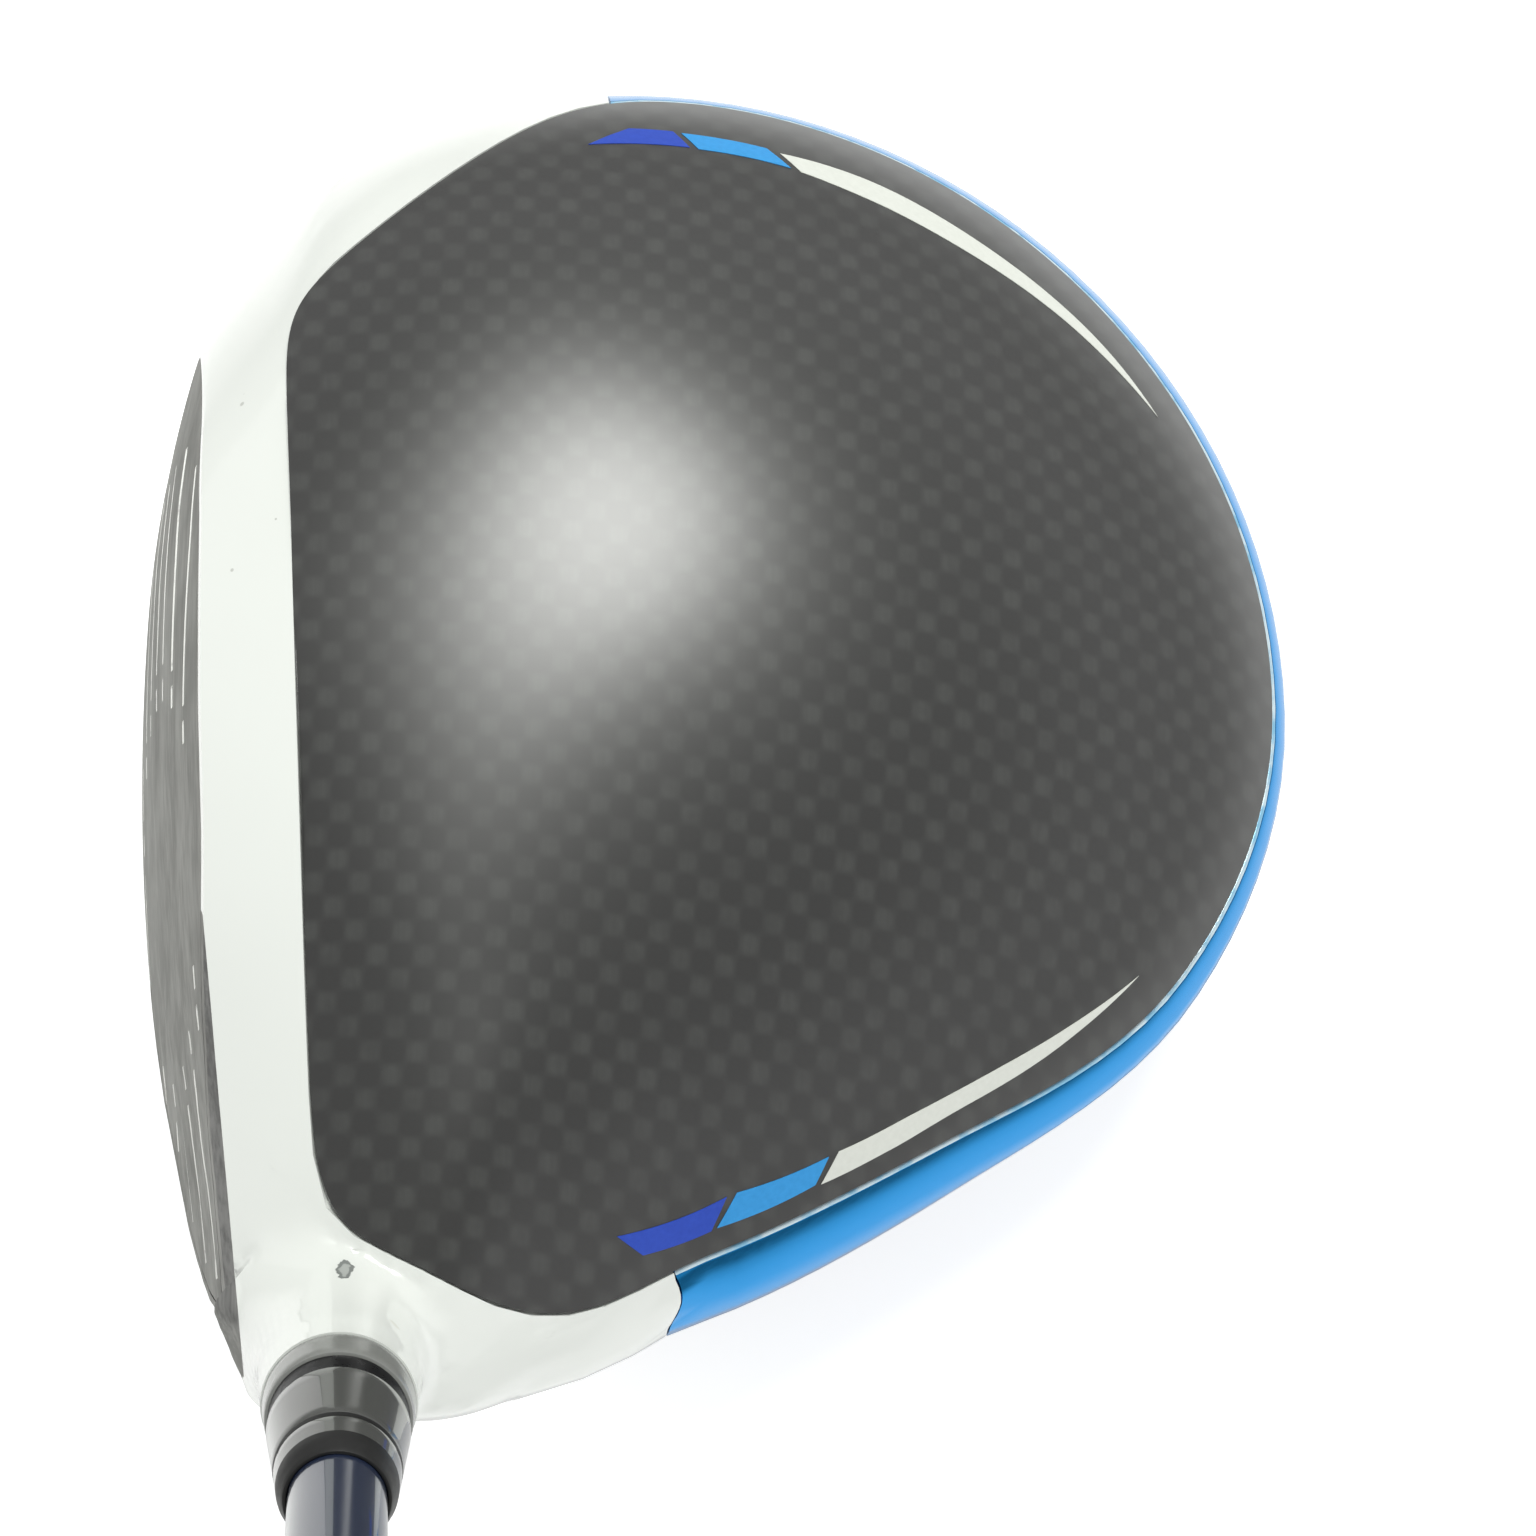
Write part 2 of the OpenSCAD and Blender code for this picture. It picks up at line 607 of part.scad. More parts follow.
module crown_panel() {
    steps = [for (i = [0 : crown_steps - 1]) 360 * i / crown_steps];
    top = [for (t = steps) outer_radii(crown_edge(t, seam_gap))];
    under = [for (t = steps) inner_radii(crown_edge(t, seam_gap))];
    function ring(radii, k, d) = [for (i = [0 : crown_steps - 1]) inset(crown_at(steps[i], radii[i][k]), d)];
    color("dimgray") ringed_solid(skin(0, 1), concat(
        [for (k = [0 : len(top[0]) - 1]) ring(top, k, 0)],
        [for (k = [0 : len(under[0]) - 1]) ring(under, k, panel_thick)]),
        skin(0, 1) - [0, 0, panel_thick]);
}

// Bearings of the sole panel's edge: those of the body's seam, then on round the back
sole_bearings = concat(
    [for (i = [0 : seam_sole_steps - 1]) mix(toe_seam, heel_seam, i / seam_sole_steps)],
    [for (i = [0 : seam_sole_steps - 1]) mix(heel_seam, toe_seam + 360, i / seam_sole_steps)]);
sole_steps = len(sole_bearings);
sole_top_radii = [for (t = sole_bearings) outer_radii(sole_edge(t, seam_gap))];
sole_under_radii = [for (t = sole_bearings) inner_radii(sole_edge(t, seam_gap))];
function sole_ring(radii, k, d) = [for (i = [0 : sole_steps - 1])
    inset(sole_at(sole_bearings[i], radii[i][k]), d)];
module sole_panel() {
    color("dimgray") difference() {
        ringed_solid(skin(0, -1), concat(
            [for (k = [0 : len(sole_top_radii[0]) - 1]) sole_ring(sole_top_radii, k, 0)],
            [for (k = [0 : len(sole_under_radii[0]) - 1]) sole_ring(sole_under_radii, k, panel_thick)]),
            skin(0, -1) + [0, 0, panel_thick], true);
        on_weight_line(-past) cylinder(d = port_od + 2 * seam_gap, h = bush_top + 2 * past);
    }
}

ring_rows = [0, 0.08, 0.2, 0.34, 0.48, 0.62, 0.76, 0.9, 1];
ring_inner_rows = [1, 0.75, 0.5, 0.25, 0];
seam_turn = asin(seam_gap / reach_heel);
module rear_ring() {
    from = heel_seam - 360 + seam_turn;
    to = toe_seam - seam_turn;
    color("dodgerblue") swept_solid([for (i = [0 : ring_steps]) let(
        t = mix(from, to, i / ring_steps),
        a = crown_at(t, crown_edge(t)),
        a_in = crown_at(t, crown_edge(t) - ledge_width),
        b = sole_at(t, sole_edge(t)),
        b_in = sole_at(t, sole_edge(t) - ledge_width))
        concat(
            [for (w = ring_rows) inset(mix(a, b, w), 0)],
            [inset(b, ledge_depth), inset(b_in, ledge_depth), inset(b_in, ledge_foot)],
            [for (w = ring_inner_rows) inset(mix(a, b, w), ring_wall)],
            [inset(a_in, ledge_foot), inset(a_in, ledge_depth), inset(a, ledge_depth)])], false, true);
}

// Keel, weight and their screw: distances along the weight's line start at the keel's rising underside
port_d = weight_d + 2 * weight_clear;
port_od = port_d + 2 * port_wall;
weight_top = weight_sink + weight_h;
port_top = weight_top + seat_gap;
bush_top = port_top + port_floor;
head_foot = weight_sink + weight_head_sink;
weight_seat = head_foot + weight_head_h;

// Places children on the weight's line
module on_weight_line(s = 0) {
    translate([weight_back, 0, (weight_back - pad_back) * tan(keel_rise)])
        rotate([0, -keel_rise, 0]) translate([0, 0, s]) children();
}

module keel_outline() {
    nose_x = keel_nose - crown_top_front;
    translate([nose_x, 0]) circle(d = keel_width);
    translate([weight_back, 0]) circle(d = keel_width);
    translate([nose_x, -keel_width / 2]) square([weight_back - nose_x, keel_width]);
}

// Block that fills the head above the sole panel, one glue line larger
module sole_stamp() {
    rows = len(sole_top_radii[0]);
    edge = sole_ring(sole_top_radii, rows - 1, -glue_gap);
    ringed_solid([-crown_top_front, 0, waist_toe], concat(
        [[for (p = edge) [p[0], p[1], waist_toe]]],
        [for (k = [rows - 1 : -1 : 0]) sole_ring(sole_top_radii, k, -glue_gap)]),
        skin(0, -1) - [0, 0, glue_gap]);
}

module sole_keel() {
    color("darkslategray") difference() {
        union() {
            difference() {
                linear_extrude(waist_back) keel_outline();
                sole_stamp();
            }
            on_weight_line() cylinder(d = port_od, h = bush_top);
        }
        translate([pad_back, -keel_width, 0]) rotate([0, -keel_rise, 0])
            translate([0, 0, -keel_width]) cube([3 * keel_width, 2 * keel_width, keel_width]);
        on_weight_line(-past) cylinder(d = port_d, h = port_top + past);
        on_weight_line() cylinder(d = bush_od, h = bush_top + past);
    }
}

module weight_bush() {
    color("goldenrod") on_weight_line() tube(thread_d / 2, bush_od / 2 - glue_clear, port_top, bush_top);
}

module rear_weight() {
    color("slategray") on_weight_line() difference() {
        translate([0, 0, weight_sink]) cylinder(d = weight_d, h = weight_h);
        cylinder(d = screw_d + 2 * loose_clear, h = weight_top + past);
        cylinder(d = weight_head_d + 2 * loose_clear, h = weight_seat);
    }
}

module weight_screw() {
    color("silver") on_weight_line() difference() {
        union() {
            translate([0, 0, head_foot]) cylinder(d = weight_head_d, h = weight_head_h - seat_gap);
            translate([0, 0, weight_seat - past]) cylinder(d = screw_d, h = bush_top - weight_seat + past);
        }
        translate([0, 0, head_foot - past]) lobe_socket(lobe_depth + past);
    }
}

// Soft filler that follows the sole across the slot, with round ends
module slot_insert() {
    half = slot_width / 2 - seam_gap;
    run = (slot_length - slot_width) / 2;
    bends = [for (a = [15 : 15 : 75]) [half * sin(a), run + half * cos(a)]];
    stations = concat([for (b = bends) [b[0], -b[1]]], [for (i = [0 : 12]) [half, mix(-run, run, i / 12)]],
        [for (i = [len(bends) - 1 : -1 : 0]) bends[i]]);
    function under(x, y, d) = let(r = x + slot_x + crown_top_front, t = atan2(y, r),
        q = skin(t, sole_at(t, norm([r, y]))[1])) [x + slot_x, y, q[2] + d];
    color("crimson") swept_solid([for (s = stations) [
        under(-s[0], s[1], slot_sink), under(s[0], s[1], slot_sink),
        under(s[0], s[1], slot_sink + slot_fill), under(-s[0], s[1], slot_sink + slot_fill)]], false);
}

// Hosel
web_top = hosel_top - sleeve_depth - foot_gap;
web_foot = web_top - seat_web;
module splines(od, width, z0, z1) {
    for (i = [0 : spline_count - 1]) rotate([0, 0, 360 * i / spline_count])
        intersection() {
            translate([0, -width / 2, z0]) cube([od, width, z1 - z0]);
            tube(sleeve_od / 2 - past, od / 2, z0, z1);
        }
}

module hosel_tube() {
    bore = sleeve_od + 2 * sleeve_clear;
    color("lightgray") on_shaft_line() difference() {
        translate([0, 0, tube_foot]) cylinder(d = tube_od, h = hosel_top - tube_foot);
        translate([0, 0, web_top]) cylinder(d = bore, h = hosel_top - web_top + past);
        translate([0, 0, tube_foot - past])
            cylinder(d = screw_d + 2 * loose_clear, h = hosel_top - tube_foot);
        translate([0, 0, tube_foot - past])
            cylinder(d = washer_d + 2 * loose_clear, h = web_foot - tube_foot + past);
        splines(spline_od + 2 * spline_clear, spline_width + 2 * spline_clear,
            hosel_top - spline_length - spline_clear, hosel_top + past);
    }
}

head_top = web_foot - seat_gap - washer_t - seat_gap;
module screw_washer() {
    color("silver") on_shaft_line()
        tube(screw_d / 2 + loose_clear, washer_d / 2, head_top + seat_gap, web_foot - seat_gap);
}

module hosel_screw() {
    color("silver") on_shaft_line() difference() {
        union() {
            translate([0, 0, head_top - screw_head_h]) cylinder(d = screw_head_d, h = screw_head_h);
            translate([0, 0, head_top - past]) cylinder(d = screw_d, h = screw_length + past);
        }
        translate([0, 0, head_top - screw_head_h - past]) lobe_socket(lobe_depth + past);
    }
}

// Sleeve, ferrule, shaft and grip
thread_top = head_top + screw_length + foot_gap;
tip_start = thread_top + sleeve_floor;
collar_foot = hosel_top + seat_gap;
band_foot = collar_foot + collar_height;
ferrule_foot = band_foot + band_height;
ferrule_top = ferrule_foot + ferrule_height;
shaft_bore = tip_od + 2 * glue_clear;
neck_r = sleeve_od / 2 + neck_step;
// Taper from the collar to the ferrule's top
function taper_r(s) = mix(collar_od / 2, ferrule_top_od / 2, (s - collar_foot) / (ferrule_top - collar_foot));

module loft_sleeve() {
    color("black") on_shaft_line() difference() {
        union() {
            turned([
                [0, web_top + foot_gap], [sleeve_od / 2, web_top + foot_gap],
                [sleeve_od / 2, collar_foot], [neck_r, collar_foot], [neck_r, band_foot],
                [taper_r(band_foot) - band_depth, band_foot],
                [taper_r(ferrule_foot) - band_depth, ferrule_foot], [0, ferrule_foot]]);
            splines(spline_od, spline_width, hosel_top - spline_length, hosel_top - foot_gap);
        }
        translate([0, 0, tip_start]) cylinder(d = shaft_bore, h = ferrule_foot);
        translate([0, 0, web_top - past]) cylinder(d = thread_d, h = thread_top - web_top + past);
    }
}

module sleeve_collar() {
    color("black") on_shaft_line() turned([
        [neck_r + glue_clear, collar_foot], [taper_r(collar_foot), collar_foot],
        [taper_r(band_foot), band_foot - seat_gap], [neck_r + glue_clear, band_foot - seat_gap]]);
}

groove_foot = ferrule_foot + groove_rise;
module ferrule() {
    r_in = shaft_bore / 2;
    color("black") on_shaft_line() turned([
        [r_in, ferrule_foot + seat_gap], [taper_r(ferrule_foot), ferrule_foot + seat_gap],
        [taper_r(groove_foot), groove_foot], [taper_r(groove_foot) - groove_depth, groove_foot],
        [taper_r(groove_foot) - groove_depth, groove_foot + groove_width],
        [taper_r(groove_foot + groove_width), groove_foot + groove_width],
        [taper_r(ferrule_top), ferrule_top], [r_in + ferrule_lip, ferrule_top + ferrule_end],
        [r_in, ferrule_top + ferrule_end]]);
}

module ferrule_band() {
    color("silver") on_shaft_line() turned([
        [taper_r(groove_foot) - groove_depth, groove_foot], [taper_r(groove_foot), groove_foot],
        [taper_r(groove_foot + groove_width), groove_foot + groove_width],
        [taper_r(groove_foot) - groove_depth, groove_foot + groove_width]]);
}

cap_foot = club_length - cap_height;
grip_foot = club_length - grip_length;
shaft_top = cap_foot - seat_gap;
module shaft() {
    tip = tip_od / 2;
    butt = butt_od / 2;
    rise = tip_start + tip_length;
    shoulder = shaft_top - butt_length;
    color("midnightblue") on_shaft_line() turned([
        [tip - shaft_wall, tip_start], [tip, tip_start], [tip, rise], [butt, shoulder], [butt, shaft_top],
        [butt - shaft_wall, shaft_top], [butt - shaft_wall, shoulder], [tip - shaft_wall, rise]]);
}

tape_r = butt_od / 2 + tape_thick;
module grip_tape() {
    color("wheat") on_shaft_line() tube(butt_od / 2, tape_r, grip_foot, shaft_top);
}

grip_rows = [for (i = [0 : 8]) i / 8];
grip_fullness = 1.3;
module grip() {
    mouth = grip_mouth_od / 2;
    flare_foot = cap_foot - grip_flare;
    color("black") on_shaft_line() turned(concat(
        [[tape_r, grip_foot], [mouth - grip_lip / 2, grip_foot]],
        [for (w = grip_rows)
            [mix(mouth, grip_butt_od / 2, w ^ grip_fullness), mix(grip_foot + grip_lip, flare_foot, w)]],
        [[cap_r - cap_round / 2, cap_foot], [tape_r, cap_foot]]));
}

cap_r = cap_od / 2;
module grip_cap() {
    bend = [for (a = [0 : 15 : 90]) cap_round * [cos(a), sin(a)]];
    rim = [cap_r - cap_round, club_length - cap_round];
    color("black") on_shaft_line() difference() {
        turned(concat([[0, cap_foot], [cap_r - cap_round / 2, cap_foot], [cap_r, cap_foot + cap_round / 2]],
            [for (p = bend) rim + p], [[0, club_length]]));
        translate([0, 0, cap_foot - past]) cylinder(d = vent_d, h = cap_height + 2 * past);
    }
}

front_body();
face_plate();
crown_panel();
sole_panel();
rear_ring();
sole_keel();
slot_insert();
hosel_tube();
hosel_screw();
screw_washer();
rear_weight();
weight_screw();
weight_bush();
loft_sleeve();
sleeve_collar();
ferrule();
ferrule_band();
shaft();
grip_tape();
grip();
grip_cap();
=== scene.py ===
# %% [markdown]
# # A golf driver, dressed for its portrait
# The club was drawn in CAD first, and every solid of it is loaded here as a fixed frame. This lesson
# gives each piece its real surface: gloss paint, a woven carbon crown, anodised and brushed metal,
# lacquer and rubber.

# %% Load the imported model
import math

import bmesh
import bpy
import numpy as np
from mathutils import Matrix, Vector
from mathutils.bvhtree import BVHTree
from mathutils.kdtree import KDTree


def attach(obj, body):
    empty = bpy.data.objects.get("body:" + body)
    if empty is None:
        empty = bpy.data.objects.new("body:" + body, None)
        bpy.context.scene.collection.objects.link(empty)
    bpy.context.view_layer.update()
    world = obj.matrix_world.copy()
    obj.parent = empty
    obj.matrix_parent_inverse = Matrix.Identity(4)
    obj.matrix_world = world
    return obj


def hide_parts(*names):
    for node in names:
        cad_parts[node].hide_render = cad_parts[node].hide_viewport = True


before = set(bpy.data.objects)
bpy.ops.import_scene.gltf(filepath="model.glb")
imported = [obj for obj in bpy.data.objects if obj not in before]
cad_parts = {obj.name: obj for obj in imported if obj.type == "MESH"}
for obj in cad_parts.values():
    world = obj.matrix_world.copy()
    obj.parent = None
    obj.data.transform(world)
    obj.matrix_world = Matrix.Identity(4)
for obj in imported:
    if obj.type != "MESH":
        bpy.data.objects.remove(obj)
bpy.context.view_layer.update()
MM = 0.001
print("nodes loaded:", len(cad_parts))

# %% [markdown]
# ## The camera
# The photograph looks down on the crown from the golfer's side. A long lens close to the head gives the
# same gentle perspective. The camera's own axes are right, up and back, so we build its matrix from
# the direction in which it stands away from the head.

# %% Place the camera
LOOK_AT = Vector((4.6, -7.7, 30.0)) * MM
LEAN_TO_FACE = math.radians(5.5)
LEAN_TO_GOLFER = math.radians(16.0)
CAMERA_AWAY = 450 * MM
LENS = 106.8


def aimed(place, back, up_hint):
    """The matrix of a thing that stands at place and looks along -back."""
    right = up_hint.cross(back).normalized()
    turned = Matrix((right, back.cross(right), back)).transposed().to_4x4()
    turned.translation = place
    return turned


camera_back = Vector((-math.tan(LEAN_TO_FACE), -math.tan(LEAN_TO_GOLFER), 1)).normalized()
camera_data = bpy.data.cameras.new("camera")
camera_data.lens = LENS
camera_data.clip_start = 10 * MM
camera_data.clip_end = 30
camera = bpy.data.objects.new("camera", camera_data)
bpy.context.scene.collection.objects.link(camera)
camera.matrix_world = aimed(LOOK_AT + camera_back * CAMERA_AWAY, camera_back, Vector((0, 1, 0)))
bpy.context.scene.camera = camera
print("camera at", [round(x, 3) for x in camera.matrix_world.translation])

# %% [markdown]
# ## Helpers for shapes
# A CAD node arrives as loose triangles. A merged copy is a proper mesh: shared corners, and pairs of
# triangles joined back into four-sided faces, which shade and subdivide far better. The copy then
# stands for the node. Edges sharper than a limit stay crisp and the others shade smoothly.

# %% Copy, shade and place a piece
WELD = 0.001 * MM
CRISP = math.radians(32)
QUAD_BEND, QUAD_SKEW = math.radians(30), math.radians(60)


def merged_copy(node, quads=True):
    """A bmesh of a CAD node with its corners merged and its triangles paired up."""
    mesh = bmesh.new()
    mesh.from_mesh(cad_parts[node].data)
    bmesh.ops.remove_doubles(mesh, verts=mesh.verts, dist=WELD)
    if quads:
        bmesh.ops.join_triangles(mesh, faces=mesh.faces, angle_face_threshold=QUAD_BEND,
                                 angle_shape_threshold=QUAD_SKEW)
    return mesh


def shade(mesh, crisp=CRISP):
    """Smooth faces, with sharp edges where two faces meet at more than the crisp angle."""
    for face in mesh.faces:
        face.smooth = True
    for edge in mesh.edges:
        edge.smooth = len(edge.link_faces) == 2 and edge.calc_face_angle(math.pi) < crisp


def place(mesh, name, body, finishes, slot, nodes):
    """Turns a bmesh into an object that rides on a body and stands for its CAD nodes."""
    data = bpy.data.meshes.new(name)
    mesh.to_mesh(data)
    mesh.free()
    for finish in finishes:
        data.materials.append(finish)
    piece = bpy.data.objects.new(name, data)
    bpy.context.scene.collection.objects.link(piece)
    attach(piece, body)
    if nodes:
        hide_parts(*nodes)
    print(name, "has", len(data.polygons), "faces")
    return piece


def rounded(mesh, edges, width, segments=2, clamp=True):
    """Bevels these edges by width, or less where clamp keeps neighbours apart, and returns the new faces."""
    return bmesh.ops.bevel(mesh, geom=edges, offset=width, offset_type="OFFSET", affect="EDGES",
                           segments=segments, profile=0.5, material=-1, clamp_overlap=clamp)["faces"]


def sharp_edges(mesh, least):
    """The outward corners of a mesh that are sharper than the angle least."""
    return [e for e in mesh.edges
            if len(e.link_faces) == 2 and e.is_convex and e.calc_face_angle(0) > least]


print("helpers for shapes ready")

# %% [markdown]
# ## Helpers for finishes
# Each finish is one Principled shader. A value that is the same everywhere is set on the shader's
# own socket, and only what varies over the surface, such as grain or weave, comes from other nodes.
# All patterns read Object coordinates, which are metres in the club's own frame.

# %% Make a finish and add nodes to it


def new_finish(name, **sockets):
    """A material whose Principled shader has these constant values."""
    finish = bpy.data.materials.new(name)
    finish.use_nodes = True
    shader = finish.node_tree.nodes["Principled BSDF"]
    for key, value in sockets.items():
        shader.inputs[key.replace("_", " ").title().replace("Ior", "IOR")].default_value = value
    return finish


def rgb(red, green, blue):
    """An opaque colour."""
    return (red, green, blue, 1.0)


def add(finish, kind, values=None, **options):
    """A new node with its options set and its inputs given a value or linked to an output."""
    made = finish.node_tree.nodes.new(kind)
    for key, value in options.items():
        setattr(made, key, value)
    for key, value in (values or {}).items():
        join(finish, value, made.inputs[key])
    return made


def join(finish, value, socket):
    """Gives an input a value, or links it to an output."""
    if isinstance(value, bpy.types.NodeSocket):
        finish.node_tree.links.new(value, socket)
    else:
        socket.default_value = value


def to_shader(finish, **links):
    """Links outputs to the sockets of the finish's Principled shader."""
    shader = finish.node_tree.nodes["Principled BSDF"]
    for key, value in links.items():
        finish.node_tree.links.new(value, shader.inputs[key.replace("_", " ").title()])


def club_coordinates(finish, scale=(1, 1, 1), turn=(0, 0, 0), shift=(0, 0, 0)):
    """Object coordinates, moved, turned and scaled by a Mapping node."""
    place_of = add(finish, "ShaderNodeTexCoord")
    return add(finish, "ShaderNodeMapping", {"Vector": place_of.outputs["Object"], "Scale": scale,
                                             "Rotation": turn, "Location": shift}).outputs["Vector"]


def calc(finish, operation, first, second=0.0, third=0.0):
    """A Math node's output."""
    return add(finish, "ShaderNodeMath", {0: first, 1: second, 2: third}, operation=operation).outputs[0]


def spread(finish, value, low, high, to_low=0.0, to_high=1.0):
    """Value moved from low..high to to_low..to_high, held at the ends."""
    return add(finish, "ShaderNodeMapRange", {"Value": value, "From Min": low, "From Max": high,
                                              "To Min": to_low, "To Max": to_high},
               interpolation_type="SMOOTHSTEP").outputs["Result"]


def noise(finish, where, scale, detail=2.0, rough=0.5):
    """A Noise texture's value."""
    return add(finish, "ShaderNodeTexNoise", {"Vector": where, "Scale": scale, "Detail": detail,
                                              "Roughness": rough}).outputs["Fac"]


def tint(finish, share, first, second):
    """A colour between first and second."""
    return add(finish, "ShaderNodeMix", {0: share, 6: first, 7: second}, data_type="RGBA").outputs[2]


def bump(finish, height, depth, strength=1.0):
    """A normal from a height of 0 to 1, depth metres deep."""
    return add(finish, "ShaderNodeBump", {"Height": height, "Distance": depth,
                                          "Strength": strength}).outputs["Normal"]


print("helpers for finishes ready")

# %% [markdown]
# ## White gloss paint and bare metal
# The front of the head is a metal casting in white gloss paint under a clear coat. Used paint is never
# one flat colour: it has faint clouds, a few flecks, and here a small chip by the hosel
# where the grey primer shows. The milled face and the strip beside it are bare brushed metal.

# %% Mix the white paint
CHIP_AT = Vector((-35.8, -62.3, 53.4)) * MM
CHIP_WIDE, CHIP_SOFT, CHIP_RAGGED = 1.5 * MM, 0.12 * MM, 1.2 * MM
HEART_FROM, HEART_TO = CHIP_WIDE - 0.45 * MM, CHIP_WIDE - 0.2 * MM
CHIP_DEEP = 0.05 * MM
SCUFF_AT = Vector((-31.2, -67.7, 56.8)) * MM
FLECKS = (((-47.7, 20.8, 51.4), 0.34), ((-47.6, 22.0, 51.0), 0.22), ((-47.9, 2.5, 56.3), 0.22),
          ((-44.0, 7.2, 57.6), 0.16))
FLECK_CORE, FLECK_STRENGTH = 0.6, 0.6
SCUFF_CORE, SCUFF_END, SCUFF_STRENGTH = 0.3 * MM, 0.6 * MM, 0.35


def distance_to(finish, spot, stretch=(1, 1, 1)):
    """How far each point is from a spot on the club, in metres, with the axes stretched."""
    moved = club_coordinates(finish, scale=stretch,
                             shift=tuple(-s * k for s, k in zip(spot, stretch)))
    return add(finish, "ShaderNodeVectorMath", {0: moved}, operation="LENGTH").outputs["Value"]


white_paint = new_finish("white_gloss_paint", roughness=0.32, coat_weight=1.0, coat_roughness=0.05,
                         specular_ior_level=0.4)
paint_place = club_coordinates(white_paint)
clouds = noise(white_paint, paint_place, 45.0, 3.0)
painted = tint(white_paint, clouds, rgb(0.735, 0.76, 0.725), rgb(0.775, 0.80, 0.765))
for spot, wide in FLECKS:
    off_spot = distance_to(white_paint, Vector(spot) * MM)
    fleck = spread(white_paint, off_spot, FLECK_CORE * wide * MM, wide * MM, FLECK_STRENGTH, 0.0)
    painted = tint(white_paint, fleck, painted, rgb(0.36, 0.36, 0.33))
ragged = noise(white_paint, paint_place, 1500.0, 3.0)
chip_edge = calc(white_paint, "ADD", distance_to(white_paint, CHIP_AT, (1.35, 0.72, 0.72)),
                 calc(white_paint, "MULTIPLY", ragged, CHIP_RAGGED))
chip = spread(white_paint, chip_edge, CHIP_WIDE, CHIP_WIDE + CHIP_SOFT, 1.0, 0.0)
chip_heart = spread(white_paint, chip_edge, HEART_FROM, HEART_TO, 1.0, 0.0)
primer = tint(white_paint, chip_heart, rgb(0.20, 0.215, 0.205), rgb(0.40, 0.42, 0.40))
chipped = tint(white_paint, chip, painted, primer)
scuff = spread(white_paint, distance_to(white_paint, SCUFF_AT, (0.35, 1.0, 2.0)), SCUFF_CORE, SCUFF_END,
               SCUFF_STRENGTH, 0.0)
to_shader(white_paint, base_color=tint(white_paint, scuff, chipped, rgb(0.45, 0.44, 0.33)),
          normal=bump(white_paint, calc(white_paint, "SUBTRACT", 1.0, chip), CHIP_DEEP))
print("white paint mixed")

# %% Brush the bare metal
BRUSH_SHARE, MOTTLE_SHARE = 0.55, 0.45
BRUSH_DEEP = 0.012 * MM
bare_metal = new_finish("bare_brushed_metal", metallic=1.0, specular_tint=rgb(0.42, 0.42, 0.41))
along_brush = club_coordinates(bare_metal, scale=(1.0, 0.02, 1.0))
fine_brush = noise(bare_metal, along_brush, 2600.0, 3.0, 0.6)
mottle = noise(bare_metal, club_coordinates(bare_metal, scale=(1.0, 0.45, 1.0)), 190.0, 4.0, 0.6)
worn = calc(bare_metal, "ADD", calc(bare_metal, "MULTIPLY", fine_brush, BRUSH_SHARE),
            calc(bare_metal, "MULTIPLY", mottle, MOTTLE_SHARE))
to_shader(bare_metal,
          base_color=tint(bare_metal, spread(bare_metal, worn, 0.36, 0.64), rgb(0.32, 0.32, 0.31),
                          rgb(0.54, 0.54, 0.523)),
          roughness=spread(bare_metal, fine_brush, 0.3, 0.7, 0.36, 0.52),
          normal=bump(bare_metal, fine_brush, BRUSH_DEEP))
print("bare metal brushed")

# %% [markdown]
# ## The painted front
# The front of the head is one casting: toe, heel, the strip in front of the crown, and the hosel. The next
# steps turn the drawn solid into it. They all ask where a point lies along the hosel, on which side of the
# paint's edge it is, and which corners of the hollow shell are outside. Distances to a line and to a plane,
# and rays that start at each corner, answer that without marking anything by hand.

# %% Find the shaft's line and the outside of the casting
LIE = math.radians(57)
SHAFT_FOOT = Vector((-36.0, -37.4, 0.0)) * MM
SHAFT_UP = Vector((0, -math.cos(LIE), math.sin(LIE)))
HOSEL_TOP = 69 * MM
OFF_SKIN = 0.3 * MM
PAINT_EDGE = Vector((-45.7, -62.1, 44.9)) * MM
PAINT_ALONG = Vector((5.3, -44.3, 0)).normalized()
PAINT_FRONT = PAINT_ALONG.cross(Vector((0, 0, 1)))


def ahead_of_paint(point):
    """How far a point lies in front of the upright plane in which the paint ends at the heel."""
    return (point - PAINT_EDGE).dot(PAINT_FRONT)


def shaft_reach(point):
    """How far a point is up the shaft's line, and how far off it."""
    up = (point - SHAFT_FOOT).dot(SHAFT_UP)
    return up, (point - SHAFT_FOOT - SHAFT_UP * up).length


def eased(value, low, high):
    """A soft step from 0 at low to 1 at high."""
    share = min(max((value - low) / (high - low), 0.0), 1.0)
    return share * share * (3 - 2 * share)


def tree_of(spots):
    """A search tree that finds the nearest of these spots."""
    tree = KDTree(max(1, len(spots)))
    for number, spot in enumerate(spots):
        tree.insert(spot, number)
    tree.balance()
    return tree


def outer_corners(mesh):
    """The corners of a hollow mesh from which one can look straight out."""
    mesh.normal_update()
    walls = BVHTree.FromBMesh(mesh)
    return {v for v in mesh.verts if walls.ray_cast(v.co + v.normal * OFF_SKIN, v.normal)[0] is None}


print("the hosel ends", round(HOSEL_TOP / MM), "mm up the shaft's line")

